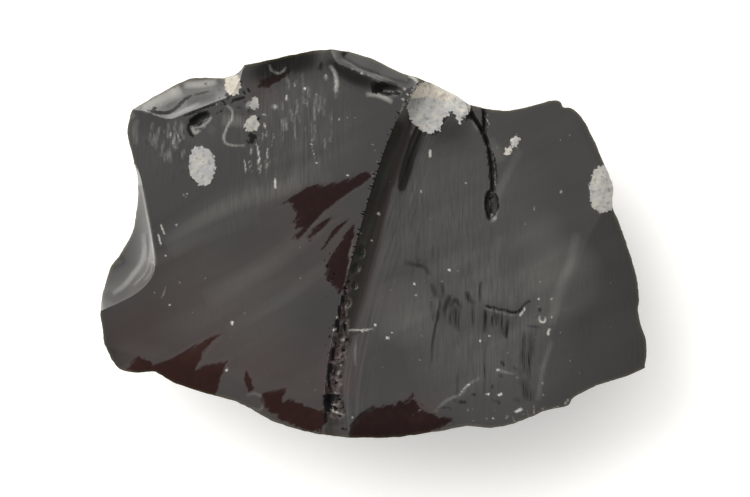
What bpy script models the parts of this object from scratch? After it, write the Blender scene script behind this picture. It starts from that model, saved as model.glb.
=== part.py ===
"""Obsidian chunk: one flaked piece of black volcanic glass, lying on its back.

Frame: +Z up out of the broad glassy face, +Y towards the humped upper edge, +X to the
thin right edge. The origin is the centre of the box's bottom, on the face it rests on.

The broad face is two sheets that meet at a crest: a smooth left sheet, and a lower
right sheet that curls up to the crest as a steep scarp. Flake scars cut the sheets
along arrises, and pits, a forked crack and crusty lumps sit in and on them. Below the
rim the flanks are hollow scars that run down to a flat back.

All lengths here are in millimetres until the mesh is made, which MM turns into metres.
"""

import bmesh
import bpy
import numpy as np
from mathutils import Vector
from mathutils.geometry import delaunay_2d_cdt

MM = 0.001

# Rim of the chunk seen from above, counter-clockwise. A point given twice is a corner.
RIM = [
    # lower edge, from the lower left corner to the foot of the crest
    (-32.3, -12.1), (-30.7, -14.8), (-29.0, -15.4), (-26.2, -15.3), (-26.2, -15.3),
    (-23.7, -16.7), (-19.4, -18.1), (-16.6, -18.8), (-11.3, -21.5), (-5.7, -22.9),
    # lower edge, on to the lower right corner
    (2.0, -23.2), (8.0, -22.4), (11.3, -21.8), (14.5, -22.0), (17.7, -21.2), (20.5, -20.0),
    (23.4, -19.3), (23.8, -18.6), (26.8, -17.0), (30.9, -15.7), (32.6, -14.9), (32.6, -14.9),
    # right edge, up to the upper right corner
    (32.8, -12.1), (31.8, -8.5), (31.9, -6.5), (31.4, -3.1), (29.6, 2.2), (28.7, 4.6),
    (28.8, 6.8), (28.0, 9.0), (26.1, 13.3), (25.2, 15.0), (23.8, 16.3), (22.8, 16.5),
    (22.6, 17.0), (22.6, 17.0),
    # upper edge, past the top of the crest, over the hump to the upper left corner
    (22.1, 17.3), (18.1, 16.4), (15.9, 16.0), (13.3, 16.3), (11.7, 16.7), (9.4, 18.1),
    (5.7, 19.7), (3.4, 20.5), (-0.4, 22.3), (-2.3, 22.9), (-4.0, 23.2), (-5.8, 23.2),
    (-10.0, 22.6), (-13.9, 21.7), (-15.5, 21.4), (-15.5, 21.4), (-16.1, 20.7), (-17.9, 20.0),
    (-21.8, 20.0), (-26.3, 17.9), (-28.9, 16.1), (-28.9, 16.1),
    # left edge, down to the lower left corner
    (-29.5, 13.7), (-28.5, 8.8), (-28.3, 6.5), (-29.1, 1.6), (-30.8, -1.3), (-32.0, -3.1),
    (-32.8, -6.7), (-32.3, -12.1),
]

# Crest between the two sheets, from its foot to its top. The scarp is on its right.
CREST = [
    (-5.7, -22.9), (-5.9, -20.2), (-5.7, -16.0), (-5.1, -12.2), (-3.9, -6.7), (-2.2, -0.4),
    (-0.7, 5.0), (0.5, 8.8), (1.8, 12.5), (3.4, 16.0), (5.7, 19.7),
]
SCARP_REACH = 1.5  # over this distance the scarp falls to a third of its height

# Each sheet is a shallow dome: summit x, summit y, summit z, radius of curvature.
LEFT_SHEET = (-2.0, 4.0, 17.7, 190.0)
RIGHT_SHEET = (5.0, -14.0, 15.7, 240.0)

# Flake scars lie to the left of their arris, as it is listed, and fall away from it by
# depth * (1 - exp(-distance / reach)).
LEFT_SCARS = {
    "left_flank": dict(
        arris=[(-34.0, -8.6), (-32.0, -7.7), (-30.2, -6.9), (-28.4, -5.9), (-26.9, -4.5),
               (-26.2, -3.0), (-26.5, 0.5), (-27.3, 4.7), (-28.1, 8.6), (-29.6, 11.0)],
        depth=13.0, reach=3.2),
    "upper_left_shelf": dict(
        arris=[(-28.9, 16.1), (-27.4, 15.9), (-25.6, 15.2), (-24.2, 15.0), (-22.4, 15.7),
               (-19.0, 17.0), (-17.0, 17.9), (-16.0, 19.7), (-15.5, 21.4)],
        depth=8.0, reach=2.6),
    "hump_bevel": dict(
        arris=[(-5.6, 24.0), (-4.3, 21.7), (-3.2, 21.2), (-1.4, 20.5), (0.7, 19.6),
               (3.1, 18.8), (4.1, 18.6), (6.2, 20.0)],
        depth=6.0, reach=3.2),
    "lower_left_bevel": dict(
        arris=[(-4.0, -19.2), (-10.0, -18.1), (-13.4, -17.8), (-17.8, -15.7), (-23.2, -14.2),
               (-28.4, -13.4), (-33.2, -12.0)],
        depth=1.2, reach=6.5),
}
RIGHT_SCARS = {
    "right_bevel": dict(
        arris=[(22.0, 17.9), (24.0, 15.1), (25.1, 13.1), (25.9, 11.1), (28.4, 8.2)],
        depth=0.15, reach=2.4),
    "right_facet": dict(
        arris=[(29.4, 7.4), (25.5, 0.2), (24.5, -2.6), (21.9, -9.1), (20.7, -13.9),
               (18.9, -21.6)],
        depth=1.9, reach=24.0),
    "lower_right_bevel": dict(
        arris=[(11.4, -22.6), (7.0, -20.0), (5.1, -18.7), (2.2, -18.8), (-0.4, -19.2),
               (-3.4, -20.8), (-6.6, -21.2)],
        depth=1.6, reach=7.0),
}

# Pits and lumps: x, y, half length, half width, turn from +X in degrees, depth. A lump
# has a negative depth.
DENTS = {
    "shelf_hollow": (-20.8, 14.8, 1.6, 0.8, 25.0, 0.6),
    "crest_top_chip": (1.5, 18.5, 1.8, 0.9, -12.0, 0.7),
    "crack_end_pit": (14.1, 4.6, 2.0, 0.8, 92.0, 0.9),
    "crest_foot_pit": (-5.2, -18.8, 1.0, 0.8, 60.0, 0.8),
    "crust_main_lobe": (6.5, 15.4, 2.6, 2.2, 70.0, -0.35),
    "crust_top_lump": (5.6, 18.1, 1.1, 0.9, 0.0, -0.5),
    "crust_small_lump": (8.1, 18.0, 0.8, 0.7, 0.0, -0.4),
    "crust_right_lobe": (10.3, 16.2, 2.1, 1.3, -45.0, -0.3),
    "right_edge_lump": (27.5, 6.7, 2.7, 1.5, 100.0, -0.3),
    "shelf_crust": (-16.9, 19.2, 1.2, 1.0, 40.0, -0.6),
    "hump_crust": (-14.7, 16.4, 0.9, 0.6, 90.0, -0.3),
}

# Forked crack that runs down from the upper edge: its course, and its other branch.
CRACK = [(11.3, 17.2), (11.9, 15.4), (13.3, 13.2), (14.1, 10.1), (14.3, 6.4)]
CRACK_FORK = [(13.2, 16.8), (13.4, 15.0), (13.3, 13.2)]
CRACK_HALF_WIDTH = 0.45
CRACK_DEPTH = 0.8

# Crumbled ledge along the lower half of the crest: a row of small pits on the scarp.
LEDGE_PITS = 10
LEDGE_SPAN = (0.08, 0.50)  # shares of the crest's length
LEDGE_OFFSET = 0.9
LEDGE_PIT_RADIUS = 0.75
LEDGE_PIT_DEPTH = 0.55
LEDGE_PIT_SHORT = 0.8  # a pit's short half, as a share of its long half
LEDGE_PIT_TURN = 75.0
LEDGE_SWELL = 0.3  # the pits' sizes swell and shrink by this share,
LEDGE_BEAT = 2.4  # by this angle in radians from one pit to the next

# Corners of the flat back, listed as the rim is and set under it by shares of length.
BACK = [
    (-19.0, -7.5), (-15.5, -12.0), (-3.0, -11.5), (6.0, -15.0), (19.5, -11.5), (22.5, -4.0),
    (17.5, 3.5), (15.5, 9.0), (2.0, 9.5), (-6.5, 13.0), (-15.5, 9.5), (-20.5, 1.0),
    (-19.0, -7.5),
]

# Flanks: they fall steeply at first and turn in under the chunk, by share ** FLANK_TURN
# in plan. Their scars are bowls that meet in sharp ridges: share of the rim's length,
# share of the way down, radius and depth.
FLANK_TURN = 1.8
FLANK_SCARS = [
    (0.040, 0.45, 10.5, 2.6), (0.125, 0.30, 13.0, 3.2), (0.205, 0.50, 9.0, 2.4),
    (0.265, 0.30, 9.0, 2.6), (0.340, 0.55, 13.5, 3.2), (0.415, 0.25, 9.0, 2.5),
    (0.490, 0.45, 11.5, 2.9), (0.575, 0.30, 9.5, 2.8), (0.655, 0.50, 13.5, 3.3),
    (0.745, 0.30, 10.5, 3.0), (0.820, 0.45, 9.0, 2.5), (0.900, 0.55, 10.0, 2.4),
    (0.965, 0.35, 7.5, 1.9), (0.080, 0.85, 8.5, 2.4), (0.175, 0.90, 9.5, 2.2),
    (0.285, 0.85, 8.5, 2.4), (0.450, 0.88, 9.0, 2.3), (0.560, 0.85, 8.5, 2.5),
    (0.720, 0.85, 10.0, 2.9), (0.860, 0.90, 8.5, 2.1),
]
FLANK_RINGS = (0.10, 0.22, 0.35, 0.49, 0.63, 0.77, 0.89, 1.0)  # shares of the way down
FLANK_EASE = 0.18  # share over which the scars ease in at the rim and at the back
FLANK_FULL_FALL = 13.0  # where the rim is lower than this, the flank's scars are shallower

# Spacing of the mesh's points along the rim and arrises, and between them.
LINE_STEP = 0.95
FIELD_STEP = 1.30
FIELD_HALF = (34.0, 24.0)  # the filling points reach this far out along X and Y
ROW_OFFSETS = (0.6, 1.4, 2.6)  # rows of points that follow the scarp and the arrises
LINE_GAP = 0.40  # least gap between a row's or ring's points and those already placed
FIELD_GAP = 0.62 * FIELD_STEP  # the same for the points that fill the rest of the face
RIM_MARGIN = 0.35  # free points stay this far inside the rim
DENT_RINGS = ((0.5, 5), (1.0, 9))  # rings round a dent: share of its size, points
MERGE_GAP = 0.08  # points closer than this become one
MARKS_PER_POINT = 24  # marks on a smooth curve for each point that it goes through
SMOOTH_ANGLE = np.radians(24.0)


def clear_scene():
    """Remove every object that the scene starts with."""
    for thing in list(bpy.data.objects):
        bpy.data.objects.remove(thing, do_unlink=True)


def lengths(points):
    """Length along a run of points, from 0 at the first."""
    steps = np.linalg.norm(np.diff(points, axis=0), axis=1)
    return np.concatenate([[0.0], np.cumsum(steps)])


def cubic_through(points):
    """Fine points on one smooth cubic through the given ones."""
    knots = np.concatenate([[0.0], np.cumsum(np.sqrt(np.diff(lengths(points))))])
    slopes = np.gradient(points, knots, axis=0)
    marks = np.linspace(0.0, knots[-1], MARKS_PER_POINT * len(points))
    at = np.clip(np.searchsorted(knots, marks, side="right") - 1, 0, len(points) - 2)
    width = np.diff(knots)[at][:, None]
    f = (marks - knots[at])[:, None] / width
    start = (1 + 2 * f) * (1 - f) ** 2 * points[at] + f * (1 - f) ** 2 * width * slopes[at]
    end = f * f * (3 - 2 * f) * points[at + 1] - f * f * (1 - f) * width * slopes[at + 1]
    return start + end


def smooth_path(points, step):
    """Even points along smooth curves through the given ones, split at doubled points."""
    points = np.array(points)
    doubled = np.flatnonzero(np.diff(lengths(points)) == 0.0)
    stretches = []
    for stretch in np.split(points, doubled + 1):
        curve = cubic_through(stretch)
        run = lengths(curve)
        marks = np.linspace(0.0, run[-1], max(2, round(run[-1] / step) + 1))
        even = np.column_stack([np.interp(marks, run, curve[:, axis]) for axis in (0, 1)])
        stretches.append(even[:-1])
    return np.vstack(stretches + [points[-1:]])


def nearest(x, y, path):
    """Distance from each point to a path, and its sign: positive to the path's left."""
    step = np.diff(path, axis=0)
    rel_x = np.subtract.outer(x, path[:-1, 0])
    rel_y = np.subtract.outer(y, path[:-1, 1])
    along = (rel_x * step[:, 0] + rel_y * step[:, 1]) / (step ** 2).sum(axis=1)
    along = np.clip(along, 0.0, 1.0)
    far = np.hypot(rel_x - along * step[:, 0], rel_y - along * step[:, 1])
    pick = far.argmin(axis=-1)[..., None]
    turn = step[:, 0] * rel_y - step[:, 1] * rel_x
    side = np.sign(np.take_along_axis(turn, pick, axis=-1))[..., 0]
    return far.min(axis=-1), side


def dome(x, y, sheet):
    """Height of a sheet: a parabola of the given radius about its summit."""
    summit_x, summit_y, summit_z, radius = sheet
    return summit_z - ((x - summit_x) ** 2 + (y - summit_y) ** 2) / (2.0 * radius)


def scarred_height(x, y, sheet, scars):
    """Height of a sheet, less the deepest of the scars that cut it at each point."""
    drop = np.zeros_like(x)
    for scar in scars.values():
        far, side = nearest(x, y, smooth_path(scar["arris"], LINE_STEP))
        inside = np.where(side > 0.0, far, 0.0)
        drop = np.maximum(drop, scar["depth"] * (1.0 - np.exp(-inside / scar["reach"])))
    return dome(x, y, sheet) - drop


def ledge_dents():
    """Pits of the crumbled ledge, spaced along the crest and set to its right."""
    crest = smooth_path(CREST, LINE_STEP)
    run = lengths(crest) / lengths(crest)[-1]
    dents = []
    for index, share in enumerate(np.linspace(*LEDGE_SPAN, LEDGE_PITS)):
        x, y = (np.interp(share, run, crest[:, axis]) for axis in (0, 1))
        swell = 1.0 + LEDGE_SWELL * np.sin(LEDGE_BEAT * index)
        radius = LEDGE_PIT_RADIUS * swell
        dents.append((x + LEDGE_OFFSET / swell, y, radius, LEDGE_PIT_SHORT * radius,
                      LEDGE_PIT_TURN, LEDGE_PIT_DEPTH * swell))
    return dents


def all_dents():
    """Every pit and lump of the broad face."""
    return list(DENTS.values()) + ledge_dents()


def dent_drop(x, y):
    """Depth of the pits less the height of the lumps, each (1 - r^2)^2 inside r = 1."""
    drop = np.zeros_like(x)
    for cx, cy, long, short, turn, depth in all_dents():
        c, s = np.cos(np.radians(turn)), np.sin(np.radians(turn))
        across = ((x - cx) * c + (y - cy) * s) / long
        along = ((y - cy) * c - (x - cx) * s) / short
        drop += depth * np.clip(1.0 - across ** 2 - along ** 2, 0.0, 1.0) ** 2
    return drop


def crack_drop(x, y):
    """Depth of the forked crack: a V as wide as the crack about its two lines."""
    main, _ = nearest(x, y, smooth_path(CRACK, LINE_STEP))
    fork, _ = nearest(x, y, smooth_path(CRACK_FORK, LINE_STEP))
    return CRACK_DEPTH * np.clip(1.0 - np.minimum(main, fork) / CRACK_HALF_WIDTH, 0.0, 1.0)


def face_height(x, y):
    """Height of the broad face: the left sheet up to the crest, then the scarp's fall."""
    left = scarred_height(x, y, LEFT_SHEET, LEFT_SCARS)
    right = scarred_height(x, y, RIGHT_SHEET, RIGHT_SCARS)
    far, side = nearest(x, y, smooth_path(CREST, LINE_STEP))
    beyond = np.where(side < 0.0, far, 0.0)
    fade = np.exp(-beyond / SCARP_REACH)
    return right + (left - right) * fade - dent_drop(x, y) - crack_drop(x, y)


def offset_row(path, offset):
    """The path moved to its right by an offset."""
    tangent = np.gradient(path, axis=0)
    tangent /= np.linalg.norm(tangent, axis=1)[:, None]
    return path + offset * np.column_stack([tangent[:, 1], -tangent[:, 0]])


def ring_points(dent):
    """Points in and around a dent: its middle, and rings at half and full size."""
    cx, cy, long, short, turn, _ = dent
    c, s = np.cos(np.radians(turn)), np.sin(np.radians(turn))
    rings = [np.array([[cx, cy]])]
    for size, count in DENT_RINGS:
        angle = np.linspace(0.0, 2.0 * np.pi, count, endpoint=False)
        across, along = size * long * np.cos(angle), size * short * np.sin(angle)
        rings.append(np.column_stack([cx + across * c - along * s, cy + across * s + along * c]))
    return np.vstack(rings)


def inside_rim(points, rim, margin):
    """Which of the points lie inside the rim by more than a margin."""
    far, side = nearest(points[:, 0], points[:, 1], np.vstack([rim, rim[:1]]))
    return (side > 0.0) & (far > margin)


def face_layout(rim):
    """Plan of the broad face: its fixed lines, and the free points between them."""
    crest = smooth_path(CREST, LINE_STEP)
    scars = list(LEFT_SCARS.values()) + list(RIGHT_SCARS.values())
    arrises = [smooth_path(scar["arris"], LINE_STEP) for scar in scars]
    cracks = [smooth_path(line, LINE_STEP)[1:] for line in (CRACK, CRACK_FORK)]
    lines = [crest] + arrises + cracks

    wanted = [ring_points(dent) for dent in all_dents()]
    wanted += [offset_row(crest, offset) for offset in ROW_OFFSETS]
    wanted += [offset_row(line, -offset) for line in arrises for offset in ROW_OFFSETS[:2]]
    for side in (-CRACK_HALF_WIDTH, CRACK_HALF_WIDTH):
        wanted += [offset_row(smooth_path(line, LINE_STEP), side) for line in (CRACK, CRACK_FORK)]
    columns = np.arange(-FIELD_HALF[0], FIELD_HALF[0], FIELD_STEP)
    rows = np.arange(-FIELD_HALF[1], FIELD_HALF[1], FIELD_STEP * np.sqrt(3.0) / 2.0)
    grid_x, grid_y = np.meshgrid(columns, rows)
    grid_x[1::2] += FIELD_STEP / 2.0
    wanted.append(np.column_stack([grid_x.ravel(), grid_y.ravel()]))

    kept = np.vstack([rim] + lines)
    for group, spacing in zip(wanted, [LINE_GAP] * (len(wanted) - 1) + [FIELD_GAP]):
        group = group[inside_rim(group, rim, RIM_MARGIN)]
        gaps = np.linalg.norm(group[:, None, :] - kept[None, :, :], axis=2).min(axis=1)
        kept = np.vstack([kept, group[gaps > spacing]])
    return lines, kept


def face_triangles(rim):
    """Triangles of the broad face in plan, whose edges follow the rim and each line."""
    lines, points = face_layout(rim)
    edges = []
    start = len(rim)
    for line in lines:
        edges += [(start + i, start + i + 1) for i in range(len(line) - 1)]
        start += len(line)
    outline = [list(range(len(rim)))]
    plan = [Vector(point) for point in points]
    verts, _, faces, _, _, _ = delaunay_2d_cdt(plan, edges, outline, 1, MERGE_GAP)
    return np.array([tuple(v) for v in verts]), faces


def boundary_loop(bm):
    """The open edge of the face as its vertices in order, counter-clockwise from above."""
    follow = {}
    for edge in bm.edges:
        if edge.is_boundary:
            loop = edge.link_loops[0]
            follow[loop.vert] = loop.link_loop_next.vert
    corner = Vector((RIM[0][0], RIM[0][1], 0.0)) * MM
    first = min(follow, key=lambda v: (v.co.xy - corner.xy).length)
    ring = [first]
    while follow[ring[-1]] is not first:
        ring.append(follow[ring[-1]])
    return ring


def flank_rings(rim):
    """Rings of points from under the rim to the back.

    In plan a point has gone share ** FLANK_TURN of the way in, and in height its share
    of the way down. The deepest bowl there then pushes it in by
    depth * (1 - (distance / radius)^2), which eases in below the rim, and pushes it
    level, not up, at the back. Under a low stretch of rim it pushes less.
    """
    closed = np.vstack([rim[:, :2], rim[:1, :2]])
    share = (lengths(closed) / lengths(closed)[-1])[:-1]
    back = np.array(BACK)
    run = lengths(back) / lengths(back)[-1]
    foot = np.column_stack([np.interp(share, run, back[:, axis]) for axis in (0, 1)])
    plan = foot - rim[:, :2]
    fall = rim[:, 2:]

    def unscarred(down):
        """The flank's ring at a share of the way down, before its scars."""
        return np.hstack([rim[:, :2] + plan * down ** FLANK_TURN, fall * (1.0 - down)])

    bowls = []
    for at, down, radius, depth in FLANK_SCARS:
        bowls.append((unscarred(down)[np.abs(share - at).argmin()], radius, depth))
    inset = np.linalg.norm(plan, axis=1)[:, None]
    into = np.hstack([plan * fall / inset, inset])
    into /= np.linalg.norm(into, axis=1)[:, None]
    rings = []
    for down in FLANK_RINGS:
        ring = unscarred(down)
        push = np.zeros(len(rim))
        for middle, radius, depth in bowls:
            gap = np.linalg.norm(ring - middle, axis=1)
            push = np.maximum(push, depth * (1.0 - (gap / radius) ** 2))
        push *= min(1.0, down / FLANK_EASE) * np.minimum(fall[:, 0] / FLANK_FULL_FALL, 1.0)
        lift = min(1.0, (1.0 - down) / FLANK_EASE)
        rings.append(ring + into * np.array([1.0, 1.0, lift]) * push[:, None])
    return rings


def chunk_mesh():
    """The whole closed surface: broad face, flanks and flat back."""
    rim = smooth_path(RIM, LINE_STEP)[:-1]
    plan, faces = face_triangles(rim)
    heights = face_height(plan[:, 0], plan[:, 1])
    bm = bmesh.new()
    verts = [bm.verts.new(Vector((x, y, z)) * MM) for (x, y), z in zip(plan, heights)]
    for face in faces:
        bm.faces.new([verts[i] for i in face])

    ring = boundary_loop(bm)
    top = np.array([tuple(v.co / MM) for v in ring])
    for points in flank_rings(top):
        lower = [bm.verts.new(Vector(point) * MM) for point in points]
        for i in range(len(ring)):
            j = (i + 1) % len(ring)
            bm.faces.new([ring[j], ring[i], lower[i], lower[j]])
        ring = lower
    bm.faces.new(ring[::-1])
    loose = [v for v in bm.verts if not v.link_faces]
    bmesh.ops.delete(bm, geom=loose, context="VERTS")
    bmesh.ops.recalc_face_normals(bm, faces=bm.faces)
    mesh = bpy.data.meshes.new("obsidian_chunk")
    bm.to_mesh(mesh)
    bm.free()
    return mesh


def volcanic_glass():
    """Black volcanic glass, with a trace of brown in it."""
    material = bpy.data.materials.new("volcanic_glass")
    material.use_nodes = True
    shader = material.node_tree.nodes["Principled BSDF"]
    shader.inputs["Base Color"].default_value = (0.012, 0.011, 0.010, 1.0)
    shader.inputs["Roughness"].default_value = 0.14
    shader.inputs["Metallic"].default_value = 0.0
    shader.inputs["IOR"].default_value = 1.49
    material.diffuse_color = (0.02, 0.02, 0.02, 1.0)
    return material


def main():
    """Build the chunk as one object, standing on its back at the origin."""
    clear_scene()
    mesh = chunk_mesh()
    mesh.materials.append(volcanic_glass())
    mesh.shade_smooth()
    mesh.set_sharp_from_angle(angle=SMOOTH_ANGLE)
    chunk = bpy.data.objects.new("obsidian_chunk", mesh)
    bpy.context.scene.collection.objects.link(chunk)


main()
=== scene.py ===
"""Looks of the obsidian chunk: one flaked piece of black volcanic glass on a pale floor.

The chunk lies on its back. +Z points up out of the broad glassy face, +Y towards the
humped upper edge and +X to the thin right edge. Lengths are in millimetres until a mesh
or a light is made, which MM turns into metres.

The surface is one closed mesh. Its broad face is a grid between four edges of the rim,
with the crest as an inner column, and its height is a formula in x and y: two domed
sheets, less the scars that cut them, less pits, plus lumps and fine relief. Below the
rim the flanks are rings that run down to the back. What is only colour is held as
distances and masks on the mesh's points, which the finish turns into sharp edges.
"""

from __future__ import annotations

import logging
from dataclasses import dataclass, field
from enum import Enum

import bpy
import numpy as np
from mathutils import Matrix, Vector
from numpy.typing import NDArray

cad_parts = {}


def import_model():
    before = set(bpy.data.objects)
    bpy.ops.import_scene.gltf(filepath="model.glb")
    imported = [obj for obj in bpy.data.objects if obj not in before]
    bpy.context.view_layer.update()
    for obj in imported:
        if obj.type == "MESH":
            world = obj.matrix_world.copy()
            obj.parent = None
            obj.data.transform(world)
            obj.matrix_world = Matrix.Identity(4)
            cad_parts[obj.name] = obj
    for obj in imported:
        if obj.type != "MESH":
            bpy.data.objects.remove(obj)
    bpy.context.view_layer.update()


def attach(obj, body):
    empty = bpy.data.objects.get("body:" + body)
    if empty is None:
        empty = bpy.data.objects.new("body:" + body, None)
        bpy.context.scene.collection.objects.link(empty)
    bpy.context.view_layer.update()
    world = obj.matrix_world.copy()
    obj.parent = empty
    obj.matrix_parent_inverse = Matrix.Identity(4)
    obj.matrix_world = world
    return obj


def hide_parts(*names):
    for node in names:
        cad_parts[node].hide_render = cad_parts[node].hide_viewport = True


Array = NDArray[np.float64]
Flags = NDArray[np.bool_]
Numbers = NDArray[np.int64]
Pair = tuple[float, float]
Points = tuple[Pair, ...]
Lean = tuple[float, float, float]
Colour = tuple[float, float, float, float]
Ramp = tuple[float, ...]  # low and high value, and what they become where not 0 and 1
Socket = bpy.types.NodeSocket
Value = Socket | float | tuple[float, ...]  # what a node's input takes

MM = 0.001
NODE = "obsidian_chunk"
BODY = "root"

MARKS_PER_POINT = 24  # marks on a smooth curve for each point that it goes through
BLOCK = 8192  # points handled at once, which bounds the memory
LATTICE = 256  # random values along each side of the noise's lattice, which then repeats
LATTICE_SHIFT = (120.37, 119.61)  # keeps the lattice's own corner away from the chunk

log = logging.getLogger("obsidian")


# ---------------- paths and noise


def lengths(points: Array) -> Array:
    """Length along a run of points, from 0 at the first."""
    steps = np.linalg.norm(np.diff(points, axis=0), axis=1)
    return np.concatenate([[0.0], np.cumsum(steps)])


def cubic_through(points: Array) -> Array:
    """Fine points on one smooth cubic through the given ones.

    Args:
        points: the points to go through, one row each.

    Returns:
        The fine points, one row each.
    """
    knots = np.concatenate([[0.0], np.cumsum(np.sqrt(np.diff(lengths(points))))])
    slopes = np.gradient(points, knots, axis=0)
    marks = np.linspace(0.0, knots[-1], MARKS_PER_POINT * len(points))
    at = np.clip(np.searchsorted(knots, marks, side="right") - 1, 0, len(points) - 2)
    width = np.diff(knots)[at][:, None]
    f = (marks - knots[at])[:, None] / width
    start = (1 + 2 * f) * (1 - f) ** 2 * points[at] + f * (1 - f) ** 2 * width * slopes[at]
    end = f * f * (3 - 2 * f) * points[at + 1] - f * f * (1 - f) * width * slopes[at + 1]
    return start + end


def smooth_path(points: Points, step: float) -> Array:
    """Even points along smooth curves through the given ones, split at doubled points.

    Args:
        points: plan points; a point given twice is a corner.
        step: spacing wanted between the points returned.

    Returns:
        The path, one row of x and y for each point.
    """
    given = np.array(points)
    doubled = np.flatnonzero(np.diff(lengths(given)) == 0.0)
    stretches = []
    for stretch in np.split(given, doubled + 1):
        curve = cubic_through(stretch)
        run = lengths(curve)
        marks = np.linspace(0.0, run[-1], max(2, round(run[-1] / step) + 1))
        even = np.column_stack([np.interp(marks, run, curve[:, axis]) for axis in (0, 1)])
        stretches.append(even[:-1])
    return np.vstack(stretches + [given[-1:]])


def resample(path: Array, marks: Array) -> Array:
    """Points of a path at the given shares of its length."""
    run = lengths(path) / lengths(path)[-1]
    return np.column_stack([np.interp(marks, run, path[:, axis]) for axis in (0, 1)])


@dataclass(frozen=True)
class Nearness:
    """How a set of points lies to a path.

    Attributes:
        far: distance of each point from the path.
        side: +1 to the path's left, -1 to its right.
        foot: the nearest place on the path, as x and y.
        share: how far along the path that place is, from 0 to 1.
    """

    far: Array
    side: Array
    foot: Array
    share: Array


def nearness(x: Array, y: Array, path: Array) -> Nearness:
    """Nearest place of a path to each point, found on each straight step of the path.

    Args:
        x, y: plan place of each point.
        path: the path, one row for each of its points.

    Returns:
        How the points lie to the path.
    """
    step = np.diff(path, axis=0)
    squared = (step ** 2).sum(axis=1)
    run = lengths(path)
    parts = []
    for block in np.array_split(np.arange(x.size), x.size // BLOCK + 1):
        rel_x = x[block, None] - path[:-1, 0]
        rel_y = y[block, None] - path[:-1, 1]
        along = np.clip((rel_x * step[:, 0] + rel_y * step[:, 1]) / squared, 0.0, 1.0)
        gap = np.hypot(rel_x - along * step[:, 0], rel_y - along * step[:, 1])
        pick = gap.argmin(axis=1)
        row = np.arange(len(block))
        turn = step[pick, 0] * rel_y[row, pick] - step[pick, 1] * rel_x[row, pick]
        t = along[row, pick]
        foot = path[pick] + t[:, None] * step[pick]
        share = (run[pick] + t * np.sqrt(squared[pick])) / run[-1]
        parts.append(np.column_stack([gap[row, pick], np.sign(turn), foot, share]))
    table = np.vstack(parts)
    return Nearness(table[:, 0], table[:, 1], table[:, 2:4], table[:, 4])


def inside_outline(x: Array, y: Array, outline: Array) -> Flags:
    """Which points an outline holds: those from which it is crossed an odd number of times.

    Args:
        x, y: plan place of each point.
        outline: the closed outline, one row for each of its points.

    Returns:
        Whether each point is inside.
    """
    odd = np.zeros(x.shape, bool)
    for (ax, ay), (bx, by) in zip(outline[:-1], outline[1:]):
        if ay != by:
            spans = (ay > y) != (by > y)
            odd ^= spans & (x < ax + (y - ay) * (bx - ax) / (by - ay))
    return odd


def ease(value: Array, low: float, high: float) -> Array:
    """Smooth rise from 0 at low to 1 at high: 3t^2 - 2t^3."""
    t = np.clip((value - low) / (high - low), 0.0, 1.0)
    return t * t * (3.0 - 2.0 * t)


def lattice_noise(x: Array, y: Array, cell: float, seed: int) -> Array:
    """Noise from -1 to 1: random values on a square lattice, eased between its points.

    Args:
        x, y: plan place of each point.
        cell: side of a square of the lattice.
        seed: start of the random draws.

    Returns:
        The noise at each point.
    """
    values = np.random.default_rng(seed).uniform(-1.0, 1.0, (LATTICE + 1, LATTICE + 1))
    u, v = x / cell + LATTICE_SHIFT[0], y / cell + LATTICE_SHIFT[1]
    i, j = np.floor(u).astype(int), np.floor(v).astype(int)
    fu, fv = u - i, v - j
    fu, fv = fu * fu * (3 - 2 * fu), fv * fv * (3 - 2 * fv)
    i, j = i % LATTICE, j % LATTICE
    low = values[i, j] * (1 - fu) + values[i + 1, j] * fu
    high = values[i, j + 1] * (1 - fu) + values[i + 1, j + 1] * fu
    return low * (1 - fv) + high * fv


@dataclass(frozen=True)
class Grain:
    """Fine relief: its height, its largest cell, its seed and its octaves."""

    height: float
    cell: float
    seed: int
    octaves: int = 3

    def at(self, x: Array, y: Array) -> Array:
        """Lattice noise summed over octaves, each half as large and half as strong.

        Args:
            x, y: plan place of each point.

        Returns:
            The relief's height at each point.
        """
        total = np.zeros_like(x)
        for octave in range(self.octaves):
            finer = 2 ** octave
            total += lattice_noise(x, y, self.cell / finer, self.seed + octave) / finer
        return self.height * (total / (2.0 - 0.5 ** (self.octaves - 1)))


# ---------------- forms of the face


@dataclass(frozen=True)
class Sheet:
    """A shallow dome: its summit and its radius of curvature."""

    x: float
    y: float
    z: float
    radius: float

    def height(self, x: Array, y: Array) -> Array:
        """Parabola of the dome's radius about its summit."""
        return self.z - ((x - self.x) ** 2 + (y - self.y) ** 2) / (2.0 * self.radius)


@dataclass(frozen=True)
class Scar:
    """A flake scar to the left of its arris."""

    arris: Points
    depth: float
    reach: float

    def path(self) -> Array:
        """The arris as fine even points."""
        return smooth_path(self.arris, PATH_STEP)

    def drop(self, x: Array, y: Array) -> Array:
        """Depth * (1 - exp(-distance / reach)) inside the scar, and 0 outside it.

        Args:
            x, y: plan place of each point.

        Returns:
            The depth at each point.
        """
        near = nearness(x, y, self.path())
        inside = np.where(near.side > 0.0, near.far, 0.0)
        return self.depth * (1.0 - np.exp(-inside / self.reach))


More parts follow.
